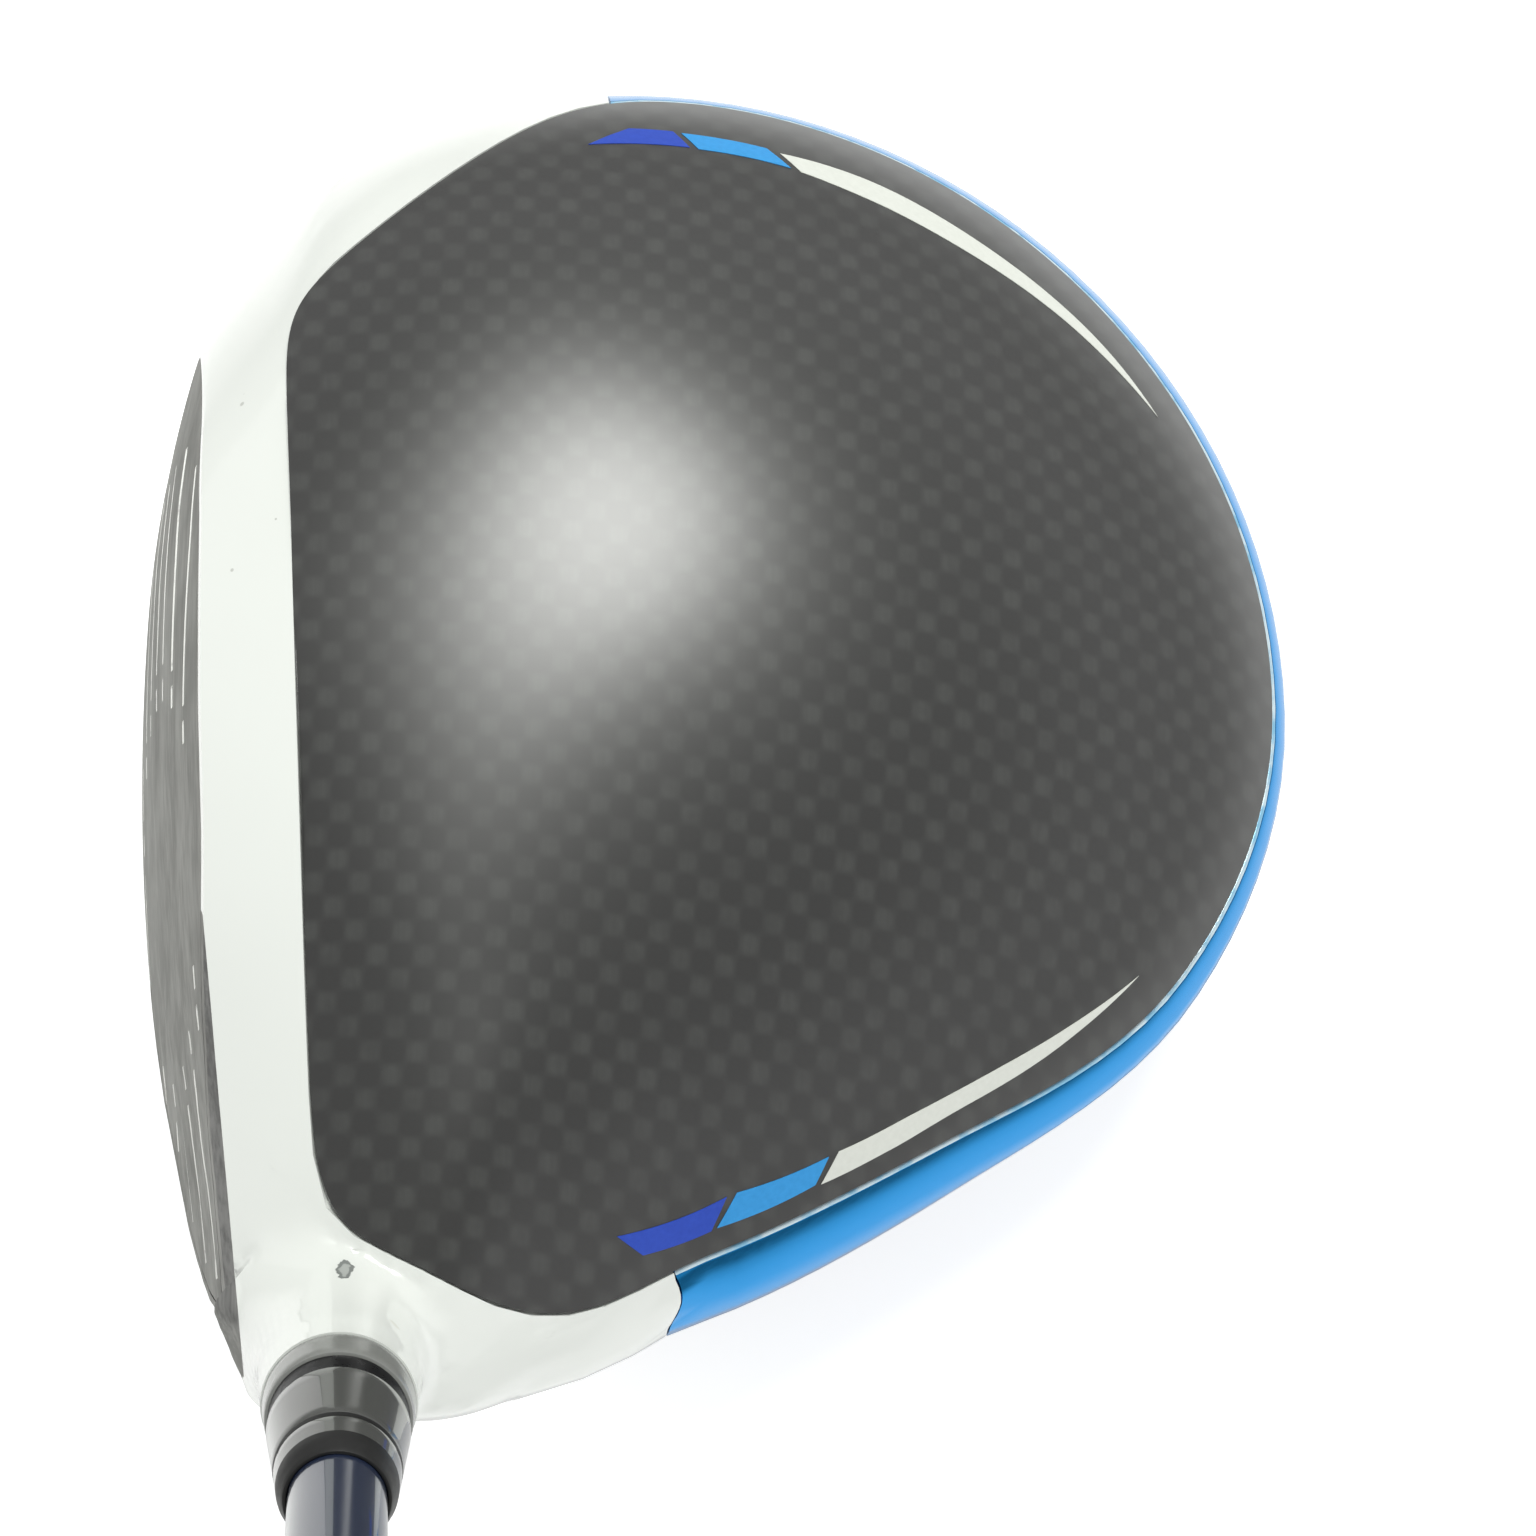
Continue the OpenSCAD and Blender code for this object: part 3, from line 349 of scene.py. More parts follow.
# %% [markdown]
# ## The fillet at the hosel
# On the casting the crown and the heel flow into the hosel in one soft fillet, while the CAD solid joins a
# cone to a shell and leaves a crease there. We could sculpt it, but it is enough to cut the faces round the
# crease finer and relax them with the smooth operator, in smaller and smaller rings. Corners far from the
# crease ease back to where they were drawn, and the rims stay where they are.

# %% Cut the faces round the hosel finer
SWEEPS = 3
FINE_EDGE = 0.9 * MM
FINE_TOP = HOSEL_TOP - 0.5 * MM
BLEND_FOOT = 32 * MM
BLEND_REACH, LOW_REACH = 15 * MM, 20 * MM
LOW_FROM, LOW_FULL = 53 * MM, 47 * MM


def blend_reach(point):
    """How far from the shaft's line the blend reaches: further on the low side of the heel."""
    return BLEND_REACH + (LOW_REACH - BLEND_REACH) * eased(point.z, LOW_FROM, LOW_FULL)


front = merged_copy("front_body", quads=False)
for sweep in range(SWEEPS):
    long_edges = []
    for edge in front.edges:
        middle = (edge.verts[0].co + edge.verts[1].co) / 2
        up, off = shaft_reach(middle)
        if BLEND_FOOT < up < FINE_TOP and off < blend_reach(middle) and edge.calc_length() > FINE_EDGE:
            long_edges.append(edge)
    bmesh.ops.subdivide_edges(front, edges=long_edges, cuts=1)
    bmesh.ops.triangulate(front, faces=[f for f in front.faces if len(f.verts) > 4])
bmesh.ops.triangulate(front, faces=front.faces)
print("faces of the front after the cuts:", len(front.faces))

# %% Find the crease, and the rims that stay
RIM_ANGLE = math.radians(40)
RIM_TO_CROWN, RIM_TO_PAINT = 3 * MM, 1.0 * MM
RIM_TOP, CREASE_TOP = HOSEL_TOP - 1.5 * MM, HOSEL_TOP - 3 * MM
CREASE = math.radians(9)
PAINT_MARGIN = 0.4 * MM
crown_drawn = tree_of([v.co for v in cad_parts["crown_panel"].data.vertices])
rim = {v for e in sharp_edges(front, RIM_ANGLE) for v in e.verts
       if crown_drawn.find(v.co)[2] < RIM_TO_CROWN or shaft_reach(v.co)[0] > RIM_TOP
       or shaft_reach(v.co)[0] < BLEND_FOOT or ahead_of_paint(v.co) > -RIM_TO_PAINT}
open_air = outer_corners(front) - rim
crease = []
for edge in front.edges:
    up, off = shaft_reach(edge.verts[0].co)
    if (BLEND_FOOT < up < CREASE_TOP and off < blend_reach(edge.verts[0].co) and not edge.is_convex
            and edge.calc_face_angle(0) > CREASE and ahead_of_paint(edge.verts[0].co) < -PAINT_MARGIN
            and any(v in open_air for v in edge.verts)):
        crease.extend(v.co.copy() for v in edge.verts)
near, near_rim = tree_of(crease), tree_of([v.co.copy() for v in rim])
print("crease corners:", len(crease))

# %% Relax the crease and taper the hosel's top
BLEND_RINGS = ((6.0, 14), (4.5, 14), (3.0, 10))
RIM_MARGIN = 1.5 * MM
LAST_ROUNDS, LAST_RING = 5, 9 * MM
LAST_TO_PAINT, LAST_TO_END, LAST_TO_RIM = 0.3 * MM, 1 * MM, 0.5 * MM
RELAX_TOP = HOSEL_TOP - 0.8 * MM
FADE_FROM, FADE_TO = 4.5 * MM, 9 * MM
END_FADE_FROM, END_FADE_TO = 2.5 * MM, 0.5 * MM
HOSEL_TAPER, TUBE_WALL = 0.25 * MM, 6.8 * MM
TAPER_BELOW, TAPER_FROM = HOSEL_TOP - 5 * MM, HOSEL_TOP - 4 * MM


def relax(verts, rounds):
    """Smooths these corners of the front a number of times."""
    for step in range(rounds):
        bmesh.ops.smooth_vert(front, verts=verts, factor=0.5, use_axis_x=True, use_axis_y=True,
                              use_axis_z=True)


below_rim = [v for v in open_air if shaft_reach(v.co)[0] < RELAX_TOP]
drawn = [(v, v.co.copy()) for v in below_rim]
for reach, rounds in BLEND_RINGS:
    relax([v for v in below_rim if ahead_of_paint(v.co) < -PAINT_MARGIN and near.find(v.co)[2] < reach * MM
           and near_rim.find(v.co)[2] > RIM_MARGIN], rounds)
relax([v for v in below_rim if ahead_of_paint(v.co) < -LAST_TO_PAINT and near.find(v.co)[2] < LAST_RING
       and shaft_reach(v.co)[1] < blend_reach(v.co) - LAST_TO_END and near_rim.find(v.co)[2] > LAST_TO_RIM],
      LAST_ROUNDS)
for vert, spot in drawn:
    reach = blend_reach(spot)
    far_out = eased(shaft_reach(spot)[1], reach - END_FADE_FROM, reach - END_FADE_TO)
    vert.co = vert.co.lerp(spot, max(far_out, eased(near.find(spot)[2], FADE_FROM, FADE_TO)))
for vert in front.verts:
    up, off = shaft_reach(vert.co)
    if up > TAPER_BELOW and off > TUBE_WALL:
        inward = SHAFT_FOOT + SHAFT_UP * up - vert.co
        vert.co += inward.normalized() * HOSEL_TAPER * eased(up, TAPER_FROM, HOSEL_TOP)
print("corners that were free to move:", len(drawn))

# %% [markdown]
# ## The outline of the face, and the seam
# Seen from above, face and paint end on free curves, which the drawn solids miss by a millimetre or two.
# Drawing them again would change the solids, so we move corners of the mesh instead. Short lists of knots
# say by how much, and the same function trims the casting and the face plate, which stay flush with each
# other. The seam between paint and ring gets its soft wave in the same way.

# %% Trim the outline of the face and bow the heel seam
POLE = Vector((-12.0, 0, 0)) * MM
HEEL_LINE = ((-75, 0), (-72, -0.5), (-70, -0.62), (-68.2, -0.42), (-67.3, -0.2), (-66.5, 0.16),
             (-65.6, 0.6), (-64.8, 1.05), (-62.7, 1.0), (-61, 0.8), (-59, 0.61), (-56.8, 0.48),
             (-53.4, 0.3), (-49, 0.26), (-42, 0))
TOP_LINE = ((-36, 0), (-29, 0.2), (-23, 0.42), (-10, 0.42), (0, 0.6), (9, 0.8), (30, 0.8))
TOE_FROM, TOE_CURVE = 9.5 * MM, 3.1
HEEL_FROM, HEEL_FULL = -0.5 * MM, 1.0 * MM
TOP_FROM, TOP_FULL = 38 * MM, 48 * MM
TRIM_BACK, TRIM_FRONT = -39 * MM, -50 * MM
TRIM_LOW, TRIM_HIGH = 7 * MM, 13 * MM
SEAM_OUT = Vector((0.1149, -0.9934, 0))
SEAM_ALONG = Vector((0.9934, 0.1149, 0))
SEAM_TOP, SEAM_WAVE, SEAM_LAST = 38.6 * MM, 4.6 * MM, 6.9 * MM
SEAM_BOW, SEAM_FADE = 0.65 * MM, 4 * MM
SEAM_AWAY, SEAM_NEAR, SEAM_CUTS = 30 * MM, 0.6 * MM, 3


def at(line, spot):
    """The value of a line of knots, all in millimetres, at a spot in metres."""
    return np.interp(spot / MM, *zip(*line)) * MM


def trim_face(mesh):
    """Moves the rim of the face in plan, by a millimetre or two, to the outline of the real one."""
    for vert in mesh.verts:
        x, y, z = vert.co
        heel = at(HEEL_LINE, y) * eased(ahead_of_paint(vert.co), HEEL_FROM, HEEL_FULL)
        toe = TOE_CURVE * max(y - TOE_FROM, 0) ** 2 + at(TOP_LINE, y) * eased(z, TOP_FROM, TOP_FULL)
        vert.co.x += toe * eased(x, TRIM_BACK, TRIM_FRONT) * eased(z, TRIM_LOW, TRIM_HIGH) - heel


def off_seam(point):
    """How far a point of the heel lies past the seam between paint and ring, or None elsewhere."""
    off = point - POLE
    return off.dot(SEAM_ALONG) if off.dot(SEAM_OUT) > SEAM_AWAY else None


def bow_seam(mesh):
    """Bends the seam between paint and ring into the soft wave that the real joint has."""
    ends = [e for e in mesh.edges if all(abs(off_seam(v.co) or 1) < SEAM_NEAR for v in e.verts)]
    bmesh.ops.subdivide_edges(mesh, edges=ends, cuts=SEAM_CUTS)
    bmesh.ops.triangulate(mesh, faces=[f for f in mesh.faces if len(f.verts) > 4])
    for vert in mesh.verts:
        past = off_seam(vert.co)
        if past is not None and abs(past) < SEAM_FADE:
            deep = min(max(SEAM_TOP - vert.co.z, 0), SEAM_LAST)
            bow = SEAM_BOW * math.sin(math.pi * deep / SEAM_WAVE)
            vert.co += SEAM_ALONG * bow * (1 - abs(past) / SEAM_FADE)
    print("edges on the seam:", len(ends))


trim_face(front)
bow_seam(front)

# %% [markdown]
# ## The bare strip
# At the heel the paint stops short of the face plate, and a narrow strip of the casting is bare metal.
# Giving whole faces the other finish would leave a jagged edge, so two planes cut the mesh first: an
# upright one for the edge that is seen from above, and one that leans back as the face does, so that the
# strip narrows along the lower rim. What lies ahead of both is bare.

# %% Split off the bare strip and finish the front
STRIP_STARTS = -22 * MM
BORE_CLEAR = 6.6 * MM
PAINT_HEEL, PAINT_TOE = Vector((-45.7, -62.1, 45.2)) * MM, Vector((-49.54, -30.0, 53.4)) * MM
PAINT_LEAN = Vector((math.tan(math.radians(8.5)), 0, 1))
strip_out = PAINT_LEAN.cross(PAINT_TOE - PAINT_HEEL).normalized()

heel_faces = [f for f in front.faces if f.calc_center_median().y < STRIP_STARTS
              and shaft_reach(f.calc_center_median())[1] > BORE_CLEAR]
heel_parts = list(dict.fromkeys(p for f in heel_faces for p in [f, *f.edges, *f.verts]))
for spot, way in ((PAINT_EDGE, PAINT_FRONT), (PAINT_HEEL, strip_out)):
    cut = bmesh.ops.bisect_plane(front, geom=heel_parts, dist=WELD, plane_co=spot, plane_no=way)
    heel_parts = cut["geom"]
front.normal_update()
for face in front.faces:
    middle = face.calc_center_median()
    ahead = min(ahead_of_paint(middle), (middle - PAINT_HEEL).dot(strip_out))
    face.material_index = int(middle.y < STRIP_STARTS and ahead > 0)
shade(front)
place(front, "painted_front", "head", [white_paint, bare_metal], "white_paint", ["front_body"])

# %% [markdown]
# ## The milled face
# The face insert is a brushed plate with fine score lines cut across it. The grooves are real cuts in the
# solid, so the piece keeps its shape. A pale filler in the grooves makes them read as
# thin light lines, as on the real face. A face of the mesh belongs to a groove if it lies a little
# behind the plate's surface next to it.

# %% Dress the face
SCORE_SHADE = math.radians(25)
PROBE_AHEAD, PROBE_STEP = 10, 1.2
GROOVE_LEAST, GROOVE_MOST = 0.05 * MM, 0.6 * MM
score_fill = new_finish("pale_score_filler", roughness=0.45)
fill_wear = noise(score_fill, club_coordinates(score_fill), 260.0, 4.0, 0.7)
to_shader(score_fill, base_color=tint(score_fill, spread(score_fill, fill_wear, 0.28, 0.46),
                                      rgb(0.45, 0.45, 0.44), rgb(0.84, 0.85, 0.82)))

plate = merged_copy("face_plate", quads=False)
plate_walls = BVHTree.FromBMesh(plate)


def sunk(face):
    """How far a face lies behind the plate's surface a little below and above it, along X."""
    middle = face.calc_center_median()
    fronts = [plate_walls.ray_cast(middle + Vector((-PROBE_AHEAD, 0, step)) * MM, Vector((1, 0, 0)))[0]
              for step in (-PROBE_STEP, PROBE_STEP)]
    if None in fronts:
        return 0.0
    return middle.x - (fronts[0].x + fronts[1].x) / 2


for face in plate.faces:
    face.material_index = int(GROOVE_LEAST < sunk(face) < GROOVE_MOST)
print("faces in the score lines:", sum(f.material_index for f in plate.faces))
trim_face(plate)
shade(plate, SCORE_SHADE)
place(plate, "milled_face", "head", [bare_metal, score_fill], "milled_face", ["face_plate"])

# %% [markdown]
# ## The carbon crown
# The crown is a woven carbon sheet under satin lacquer. Warp and weft cross at right angles, so every
# second cell of a small grid shows fibres that catch the light. The product of two cosines draws
# those cells. A second noise, stretched along each cell's fibres, gives the strands. The lacquer is the
# shader's coat, smooth over the whole panel. The drawn crown has a faint ridge that runs from its top
# to the hosel, and gloss shows every ridge. So we fit one smooth surface, a polynomial of x and y, to
# all the points of its top, and ease the points onto it: fully in the middle, not at all at the edge.

# %% Weave the carbon
CELL = 2.12 * MM
WEAVE_TURN = math.radians(3)
WEAVE_DEEP, WEAVE_RELIEF = 0.03 * MM, 0.35
LACQUER_IOR = 1.85


def woven(name, dark, light, coat_roughness, roughness):
    """A carbon weave under lacquer."""
    finish = new_finish(name, roughness=roughness, coat_weight=1.0, coat_roughness=coat_roughness,
                        coat_ior=LACQUER_IOR, specular_ior_level=0.2)
    grid = add(finish, "ShaderNodeSeparateXYZ",
               {0: club_coordinates(finish, scale=(math.pi / CELL,) * 3, turn=(0, 0, WEAVE_TURN))})
    waves = [calc(finish, "COSINE", grid.outputs[axis]) for axis in ("X", "Y")]
    cells = calc(finish, "MULTIPLY", waves[0], waves[1])
    over = spread(finish, cells, -0.35, 0.75)
    strands = noise(finish, club_coordinates(finish, scale=(1.0, 0.08, 0.3)), 2400.0, 2.0)
    tone = noise(finish, club_coordinates(finish), 330.0, 2.0)
    lit = calc(finish, "MULTIPLY", over, spread(finish, tone, 0.3, 0.7, 0.55, 1.0))
    lit = calc(finish, "MULTIPLY", lit, spread(finish, strands, 0.25, 0.75, 0.75, 1.1))
    to_shader(finish, base_color=tint(finish, lit, dark, light),
              normal=bump(finish, over, WEAVE_DEEP, WEAVE_RELIEF))
    return finish


crown_carbon = woven("crown_carbon_weave", rgb(0.020, 0.020, 0.019), rgb(0.040, 0.042, 0.039), 0.36, 0.5)
print("carbon woven in cells of", round(CELL / MM, 2), "mm")

# %% Dress the crown
PANEL_CORNER = math.radians(38)
FINER = 2
TOP_FACING = 0.3
FIT_FULL, FIT_END = 34 * MM, 57 * MM
FIT_DEGREE, FIT_MIDDLE = 6, 0.03


def creased(mesh, least):
    """Marks the edges sharper than least, so that subdivision keeps them."""
    layer = mesh.edges.layers.float.get("crease_edge") or mesh.edges.layers.float.new("crease_edge")
    for edge in mesh.edges:
        if len(edge.link_faces) == 2 and edge.calc_face_angle(0) > least:
            edge[layer] = 1.0


def calmed(mesh):
    """Eases the top of the crown onto one smooth surface."""
    mesh.normal_update()
    top = [v for v in mesh.verts if v.normal.z > TOP_FACING]
    spots = np.array([v.co - POLE for v in top]) / FIT_END
    reach = np.hypot(spots[:, 0], spots[:, 1])
    powers = [(i, j) for i in range(FIT_DEGREE + 1) for j in range(FIT_DEGREE + 1 - i)]
    terms = np.stack([spots[:, 0] ** i * spots[:, 1] ** j for i, j in powers], axis=1)
    weight = np.sqrt(reach + FIT_MIDDLE) * (reach < 1)
    best = np.linalg.lstsq(terms * weight[:, None], spots[:, 2] * weight, rcond=None)[0]
    for vert, level, far in zip(top, terms @ best, reach):
        vert.co.z += (level * FIT_END - vert.co.z) * eased(far * FIT_END, FIT_END, FIT_FULL)


crown = merged_copy("crown_panel")
creased(crown, PANEL_CORNER)
crown_piece = place(crown, "carbon_crown", "head", [crown_carbon], "crown_carbon", ["crown_panel"])
rounder = crown_piece.modifiers.new("rounder", "SUBSURF")
rounder.levels = FINER
rounder.render_levels = FINER
fine = bpy.data.meshes.new_from_object(crown_piece.evaluated_get(bpy.context.evaluated_depsgraph_get()))
crown_piece.modifiers.clear()
panel = bmesh.new()
panel.from_mesh(fine)
calmed(panel)
shade(panel)
crown_surface = BVHTree.FromBMesh(panel)
panel.to_mesh(crown_piece.data)
panel.free()
print("the fine crown has", len(crown_piece.data.polygons), "faces")

# %% [markdown]
# ## The crown's stripes
# A row of flat paint dashes and a tapering pinstripe run round each side of the crown. Each is a thin
# film: a small grid is laid between an outer and an inner line, given as bearings round the head and
# distances from its pole, and dropped onto the crown along Z. Plain geometry keeps the
# edges crisp at any size.

# %% Lay the stripes
FILM = 0.05 * MM
FILM_STEPS = 12
ABOVE_CROWN = 100 * MM
STRIPES = (
    ("toe_dash_royal", "royal", ((88.6, 53.5), (83.9, 53.8)), ((93.2, 50.5), (81.9, 51.5))),
    ("toe_dash_sky", "sky", ((83.0, 53.7), (73.9, 54.6)), ((80.9, 51.5), (70.7, 52.7))),
    ("toe_pinstripe", "pale",
     ((72.4, 54.5), (63.3, 56.3), (50.1, 58.2), (35.8, 61.2), (27.3, 62.5)),
     ((69.5, 52.7), (62.1, 53.4), (50.8, 55.4), (37.0, 59.5), (27.3, 62.5))),
    ("heel_dash_royal", "royal", ((280.4, 56.8), (273.6, 58.8)), ((282.3, 54.2), (271.1, 57.5))),
    ("heel_dash_sky", "sky", ((291.6, 54.9), (281.0, 56.6)), ((293.7, 53.1), (283.4, 54.0))),
    ("heel_pinstripe", "pale",
     ((331.2, 59.9), (320.9, 57.4), (309.1, 55.1), (300.2, 54.7), (292.2, 55.0)),
     ((331.2, 59.9), (322.0, 56.7), (312.9, 54.3), (304.0, 53.1), (294.9, 53.0))),
)


def stripe_finish(name, colour, fleck):
    """Flat paint with a fine fleck, under the crown's lacquer."""
    finish = new_finish(name, roughness=0.5, specular_ior_level=0.3)
    grain = noise(finish, club_coordinates(finish), 1600.0, 2.0)
    to_shader(finish, base_color=tint(finish, grain, colour, fleck))
    return finish


stripe_paints = {
    "royal": stripe_finish("royal_blue_film", rgb(0.012, 0.050, 0.40), rgb(0.020, 0.072, 0.50)),
    "sky": stripe_finish("sky_blue_film", rgb(0.018, 0.25, 0.60), rgb(0.032, 0.32, 0.72)),
    "pale": stripe_finish("pale_film", rgb(0.61, 0.63, 0.58), rgb(0.69, 0.71, 0.66)),
}


def along(knots, share):
    """A point on the smooth curve through the knots, share from 0 to 1."""
    spot = share * (len(knots) - 1)
    leg = min(int(spot), len(knots) - 2)
    part = spot - leg
    before, start = knots[max(leg - 1, 0)], knots[leg]
    end, after = knots[leg + 1], knots[min(leg + 2, len(knots) - 1)]
    return [0.5 * (2 * b + (c - a) * part + (2 * a - 5 * b + 4 * c - d) * part ** 2
                   + (3 * b - a - 3 * c + d) * part ** 3)
            for a, b, c, d in zip(before, start, end, after)]


def on_crown(bearing, reach):
    """The point of the crown at a bearing and a distance from the pole, and the way it faces."""
    turn = math.radians(bearing)
    above = POLE + Vector((math.cos(turn), math.sin(turn), 0)) * reach * MM
    above.z = ABOVE_CROWN
    spot, facing = crown_surface.ray_cast(above, Vector((0, 0, -1)))[:2]
    return spot, facing


for name, paint, outer, inner in STRIPES:
    film = bmesh.new()
    bmesh.ops.create_grid(film, x_segments=FILM_STEPS * len(outer), y_segments=2, size=0.5)
    for vert in film.verts:
        share, across = 0.5 - vert.co.x, vert.co.y + 0.5
        edge_out, edge_in = along(outer, share), along(inner, share)
        spot, facing = on_crown(*[i + (o - i) * across for o, i in zip(edge_out, edge_in)])
        vert.co = spot + facing * FILM
    bmesh.ops.remove_doubles(film, verts=film.verts, dist=WELD)
    bmesh.ops.recalc_face_normals(film, faces=film.faces)
    shade(film)
    stripe = place(film, name, "head", [stripe_paints[paint]], "crown_carbon", [])
    skin = stripe.modifiers.new("film", "SOLIDIFY")
    skin.thickness = FILM
    skin.offset = -1

# %% [markdown]
# ## The anodised ring
# A blue anodised aluminium ring closes the back of the head. Anodising is a thin dyed skin on bright
# metal, so the finish is metallic with a strong blue and a low roughness. The sharp top edge is
# bevelled, and the bevel's faces that face up are coloured a pale cyan, a painted highlight that runs
# as a narrow bright line along the ring.

# %% Dress the ring
blue_anodise = new_finish("blue_anodised_aluminium", metallic=1.0, coat_weight=0.15, coat_roughness=0.06)
ring_grain = noise(blue_anodise, club_coordinates(blue_anodise, scale=(1, 1, 6)), 700.0, 3.0)
to_shader(blue_anodise,
          base_color=tint(blue_anodise, ring_grain, rgb(0.010, 0.26, 0.64), rgb(0.020, 0.32, 0.75)),
          roughness=spread(blue_anodise, ring_grain, 0.2, 0.8, 0.15, 0.22))

# Painted highlight: a pale cyan finish for the bevel's faces that face up, towards the light.
painted_highlight_edge = new_finish("ring_edge_painted_highlight", metallic=0.35, roughness=0.25)
highlight_grain = noise(painted_highlight_edge, club_coordinates(painted_highlight_edge), 420.0, 3.0)
to_shader(painted_highlight_edge, base_color=tint(painted_highlight_edge, spread(painted_highlight_edge, highlight_grain, 0.35, 0.6),
                                       rgb(0.30, 0.62, 0.86), rgb(0.72, 0.88, 0.96)))
RING_ROUND, RING_STEPS = 0.55 * MM, 5
OUT_FACING, LIP_FACING, UP_FACING = 0.5, 0.2, 0.2
EDGE_FACING = 0.82


def top_corners(mesh):
    """The corners between a skin that faces outwards and a lip that faces up and inwards."""
    mesh.normal_update()
    picked = []
    for edge in sharp_edges(mesh, RIM_ANGLE):
        outwards = ((edge.verts[0].co - POLE) * Vector((1, 1, 0))).normalized()
        facing = [f.normal.dot(outwards) for f in edge.link_faces]
        rising = min(f.normal.z for f in edge.link_faces)
        if max(facing) > OUT_FACING and min(facing) < LIP_FACING and rising > UP_FACING:
            picked.append(edge)
    return picked


ring = merged_copy("rear_ring")
edge_faces = rounded(ring, top_corners(ring), RING_ROUND, RING_STEPS, clamp=False)
ring.normal_update()
# The bevel's faces that face up take the painted highlight.
for face in edge_faces:
    face.material_index = int(face.normal.z > EDGE_FACING)
bow_seam(ring)
shade(ring)
place(ring, "blue_ring", "head", [blue_anodise, painted_highlight_edge], "blue_anodise", ["rear_ring"])

# %% [markdown]
# ## The sole
# Nobody sees the sole at address, but it is half of the club. A second carbon panel spans it,
# with an anodised keel down the middle that carries the weight port, and a soft filler in the flex slot
# behind the leading edge.

# %% Dress the sole
sole_carbon = woven("sole_carbon_weave", rgb(0.012, 0.012, 0.013), rgb(0.036, 0.036, 0.038), 0.12, 0.45)
sole = merged_copy("sole_panel")
shade(sole)
place(sole, "carbon_sole", "head", [sole_carbon], "sole_carbon", ["sole_panel"])


def satin(name, first, second, metallic, low, high, scale, depth=0.004):
    """A satin surface with a fine even grain."""
    finish = new_finish(name, metallic=metallic)
    grain = noise(finish, club_coordinates(finish), scale, 3.0, 0.6)
    to_shader(finish, base_color=tint(finish, grain, first, second),
              roughness=spread(finish, grain, 0.3, 0.7, low, high), normal=bump(finish, grain, depth * MM))
    return finish


keel_black = satin("black_anodised_keel", rgb(0.030, 0.030, 0.033), rgb(0.050, 0.050, 0.054), 1.0, 0.32,
                   0.46, 900.0)
slot_rubber = satin("blue_slot_rubber", rgb(0.010, 0.075, 0.24), rgb(0.016, 0.10, 0.30), 0.0, 0.6, 0.75,
                    700.0, 0.02)
keel = merged_copy("sole_keel", quads=False)
shade(keel)
place(keel, "sole_keel_rail", "head", [keel_black], "keel_metal", ["sole_keel"])
filler = merged_copy("slot_insert")
shade(filler)
place(filler, "slot_filler", "head", [slot_rubber], "slot_rubber", ["slot_insert"])

# %% [markdown]
# ## Screws, weight and tube
# The small hardware is turned steel. Its shapes are already right, so merged copies with crisp edges
# are enough, each with a satin metal finish of its own tone.

# %% Dress the hardware
screw_steel = satin("satin_screw_steel", rgb(0.20, 0.20, 0.205), rgb(0.32, 0.32, 0.325), 1.0, 0.28, 0.4,
                    1500.0)
tube_steel = satin("satin_tube_steel", rgb(0.42, 0.42, 0.41), rgb(0.55, 0.55, 0.54), 1.0, 0.3, 0.42, 1200.0)
weight_steel = satin("satin_weight_steel", rgb(0.26, 0.26, 0.27), rgb(0.38, 0.38, 0.39), 1.0, 0.3, 0.44,
                     1100.0)
bush_brass = satin("turned_brass", rgb(0.48, 0.34, 0.12), rgb(0.62, 0.46, 0.18), 1.0, 0.25, 0.4, 1500.0)
HARDWARE = (
    ("hosel_tube", "hosel_liner", "head", tube_steel, "tube_steel"),
    ("hosel_screw", "sleeve_screw", "hosel_screw", screw_steel, "screw_steel"),
    ("screw_washer", "sleeve_washer", "washer", tube_steel, "washer_steel"),
    ("rear_weight", "sole_weight", "weight", weight_steel, "weight_steel"),
    ("weight_screw", "sole_weight_screw", "weight_screw", screw_steel, "screw_steel"),
    ("weight_bush", "threaded_bush", "head", bush_brass, "bush_brass"),
)
for node, name, body, finish, slot in HARDWARE:
    part = merged_copy(node, quads=False)
    shade(part)
    place(part, name, body, [finish], slot, [node])

# %% [markdown]
# ## Sleeve, collar and ferrule
# Above the hosel a stack of turned rings hides the joint between head and shaft: a smoke grey collar, a
# band in a groove, coloured near black as painted shade, and a gloss black ferrule with a matt end that is
# coloured near black as painted shade. On such dark gloss an edge is seen only by what it
# reflects, so a narrow bevel on collar and ferrule catches a thin line of light.

# %% Dress the ferrule stack


def lacquer(name, colour, fleck, coat_roughness, coat_ior):
    """A dark moulded or painted surface under clear gloss."""
    finish = new_finish(name, roughness=0.25, coat_weight=1.0, coat_roughness=coat_roughness,
                        coat_ior=coat_ior, specular_ior_level=0.6)
    grain = noise(finish, club_coordinates(finish), 2200.0, 2.0)
    to_shader(finish, base_color=tint(finish, grain, colour, fleck))
    return finish


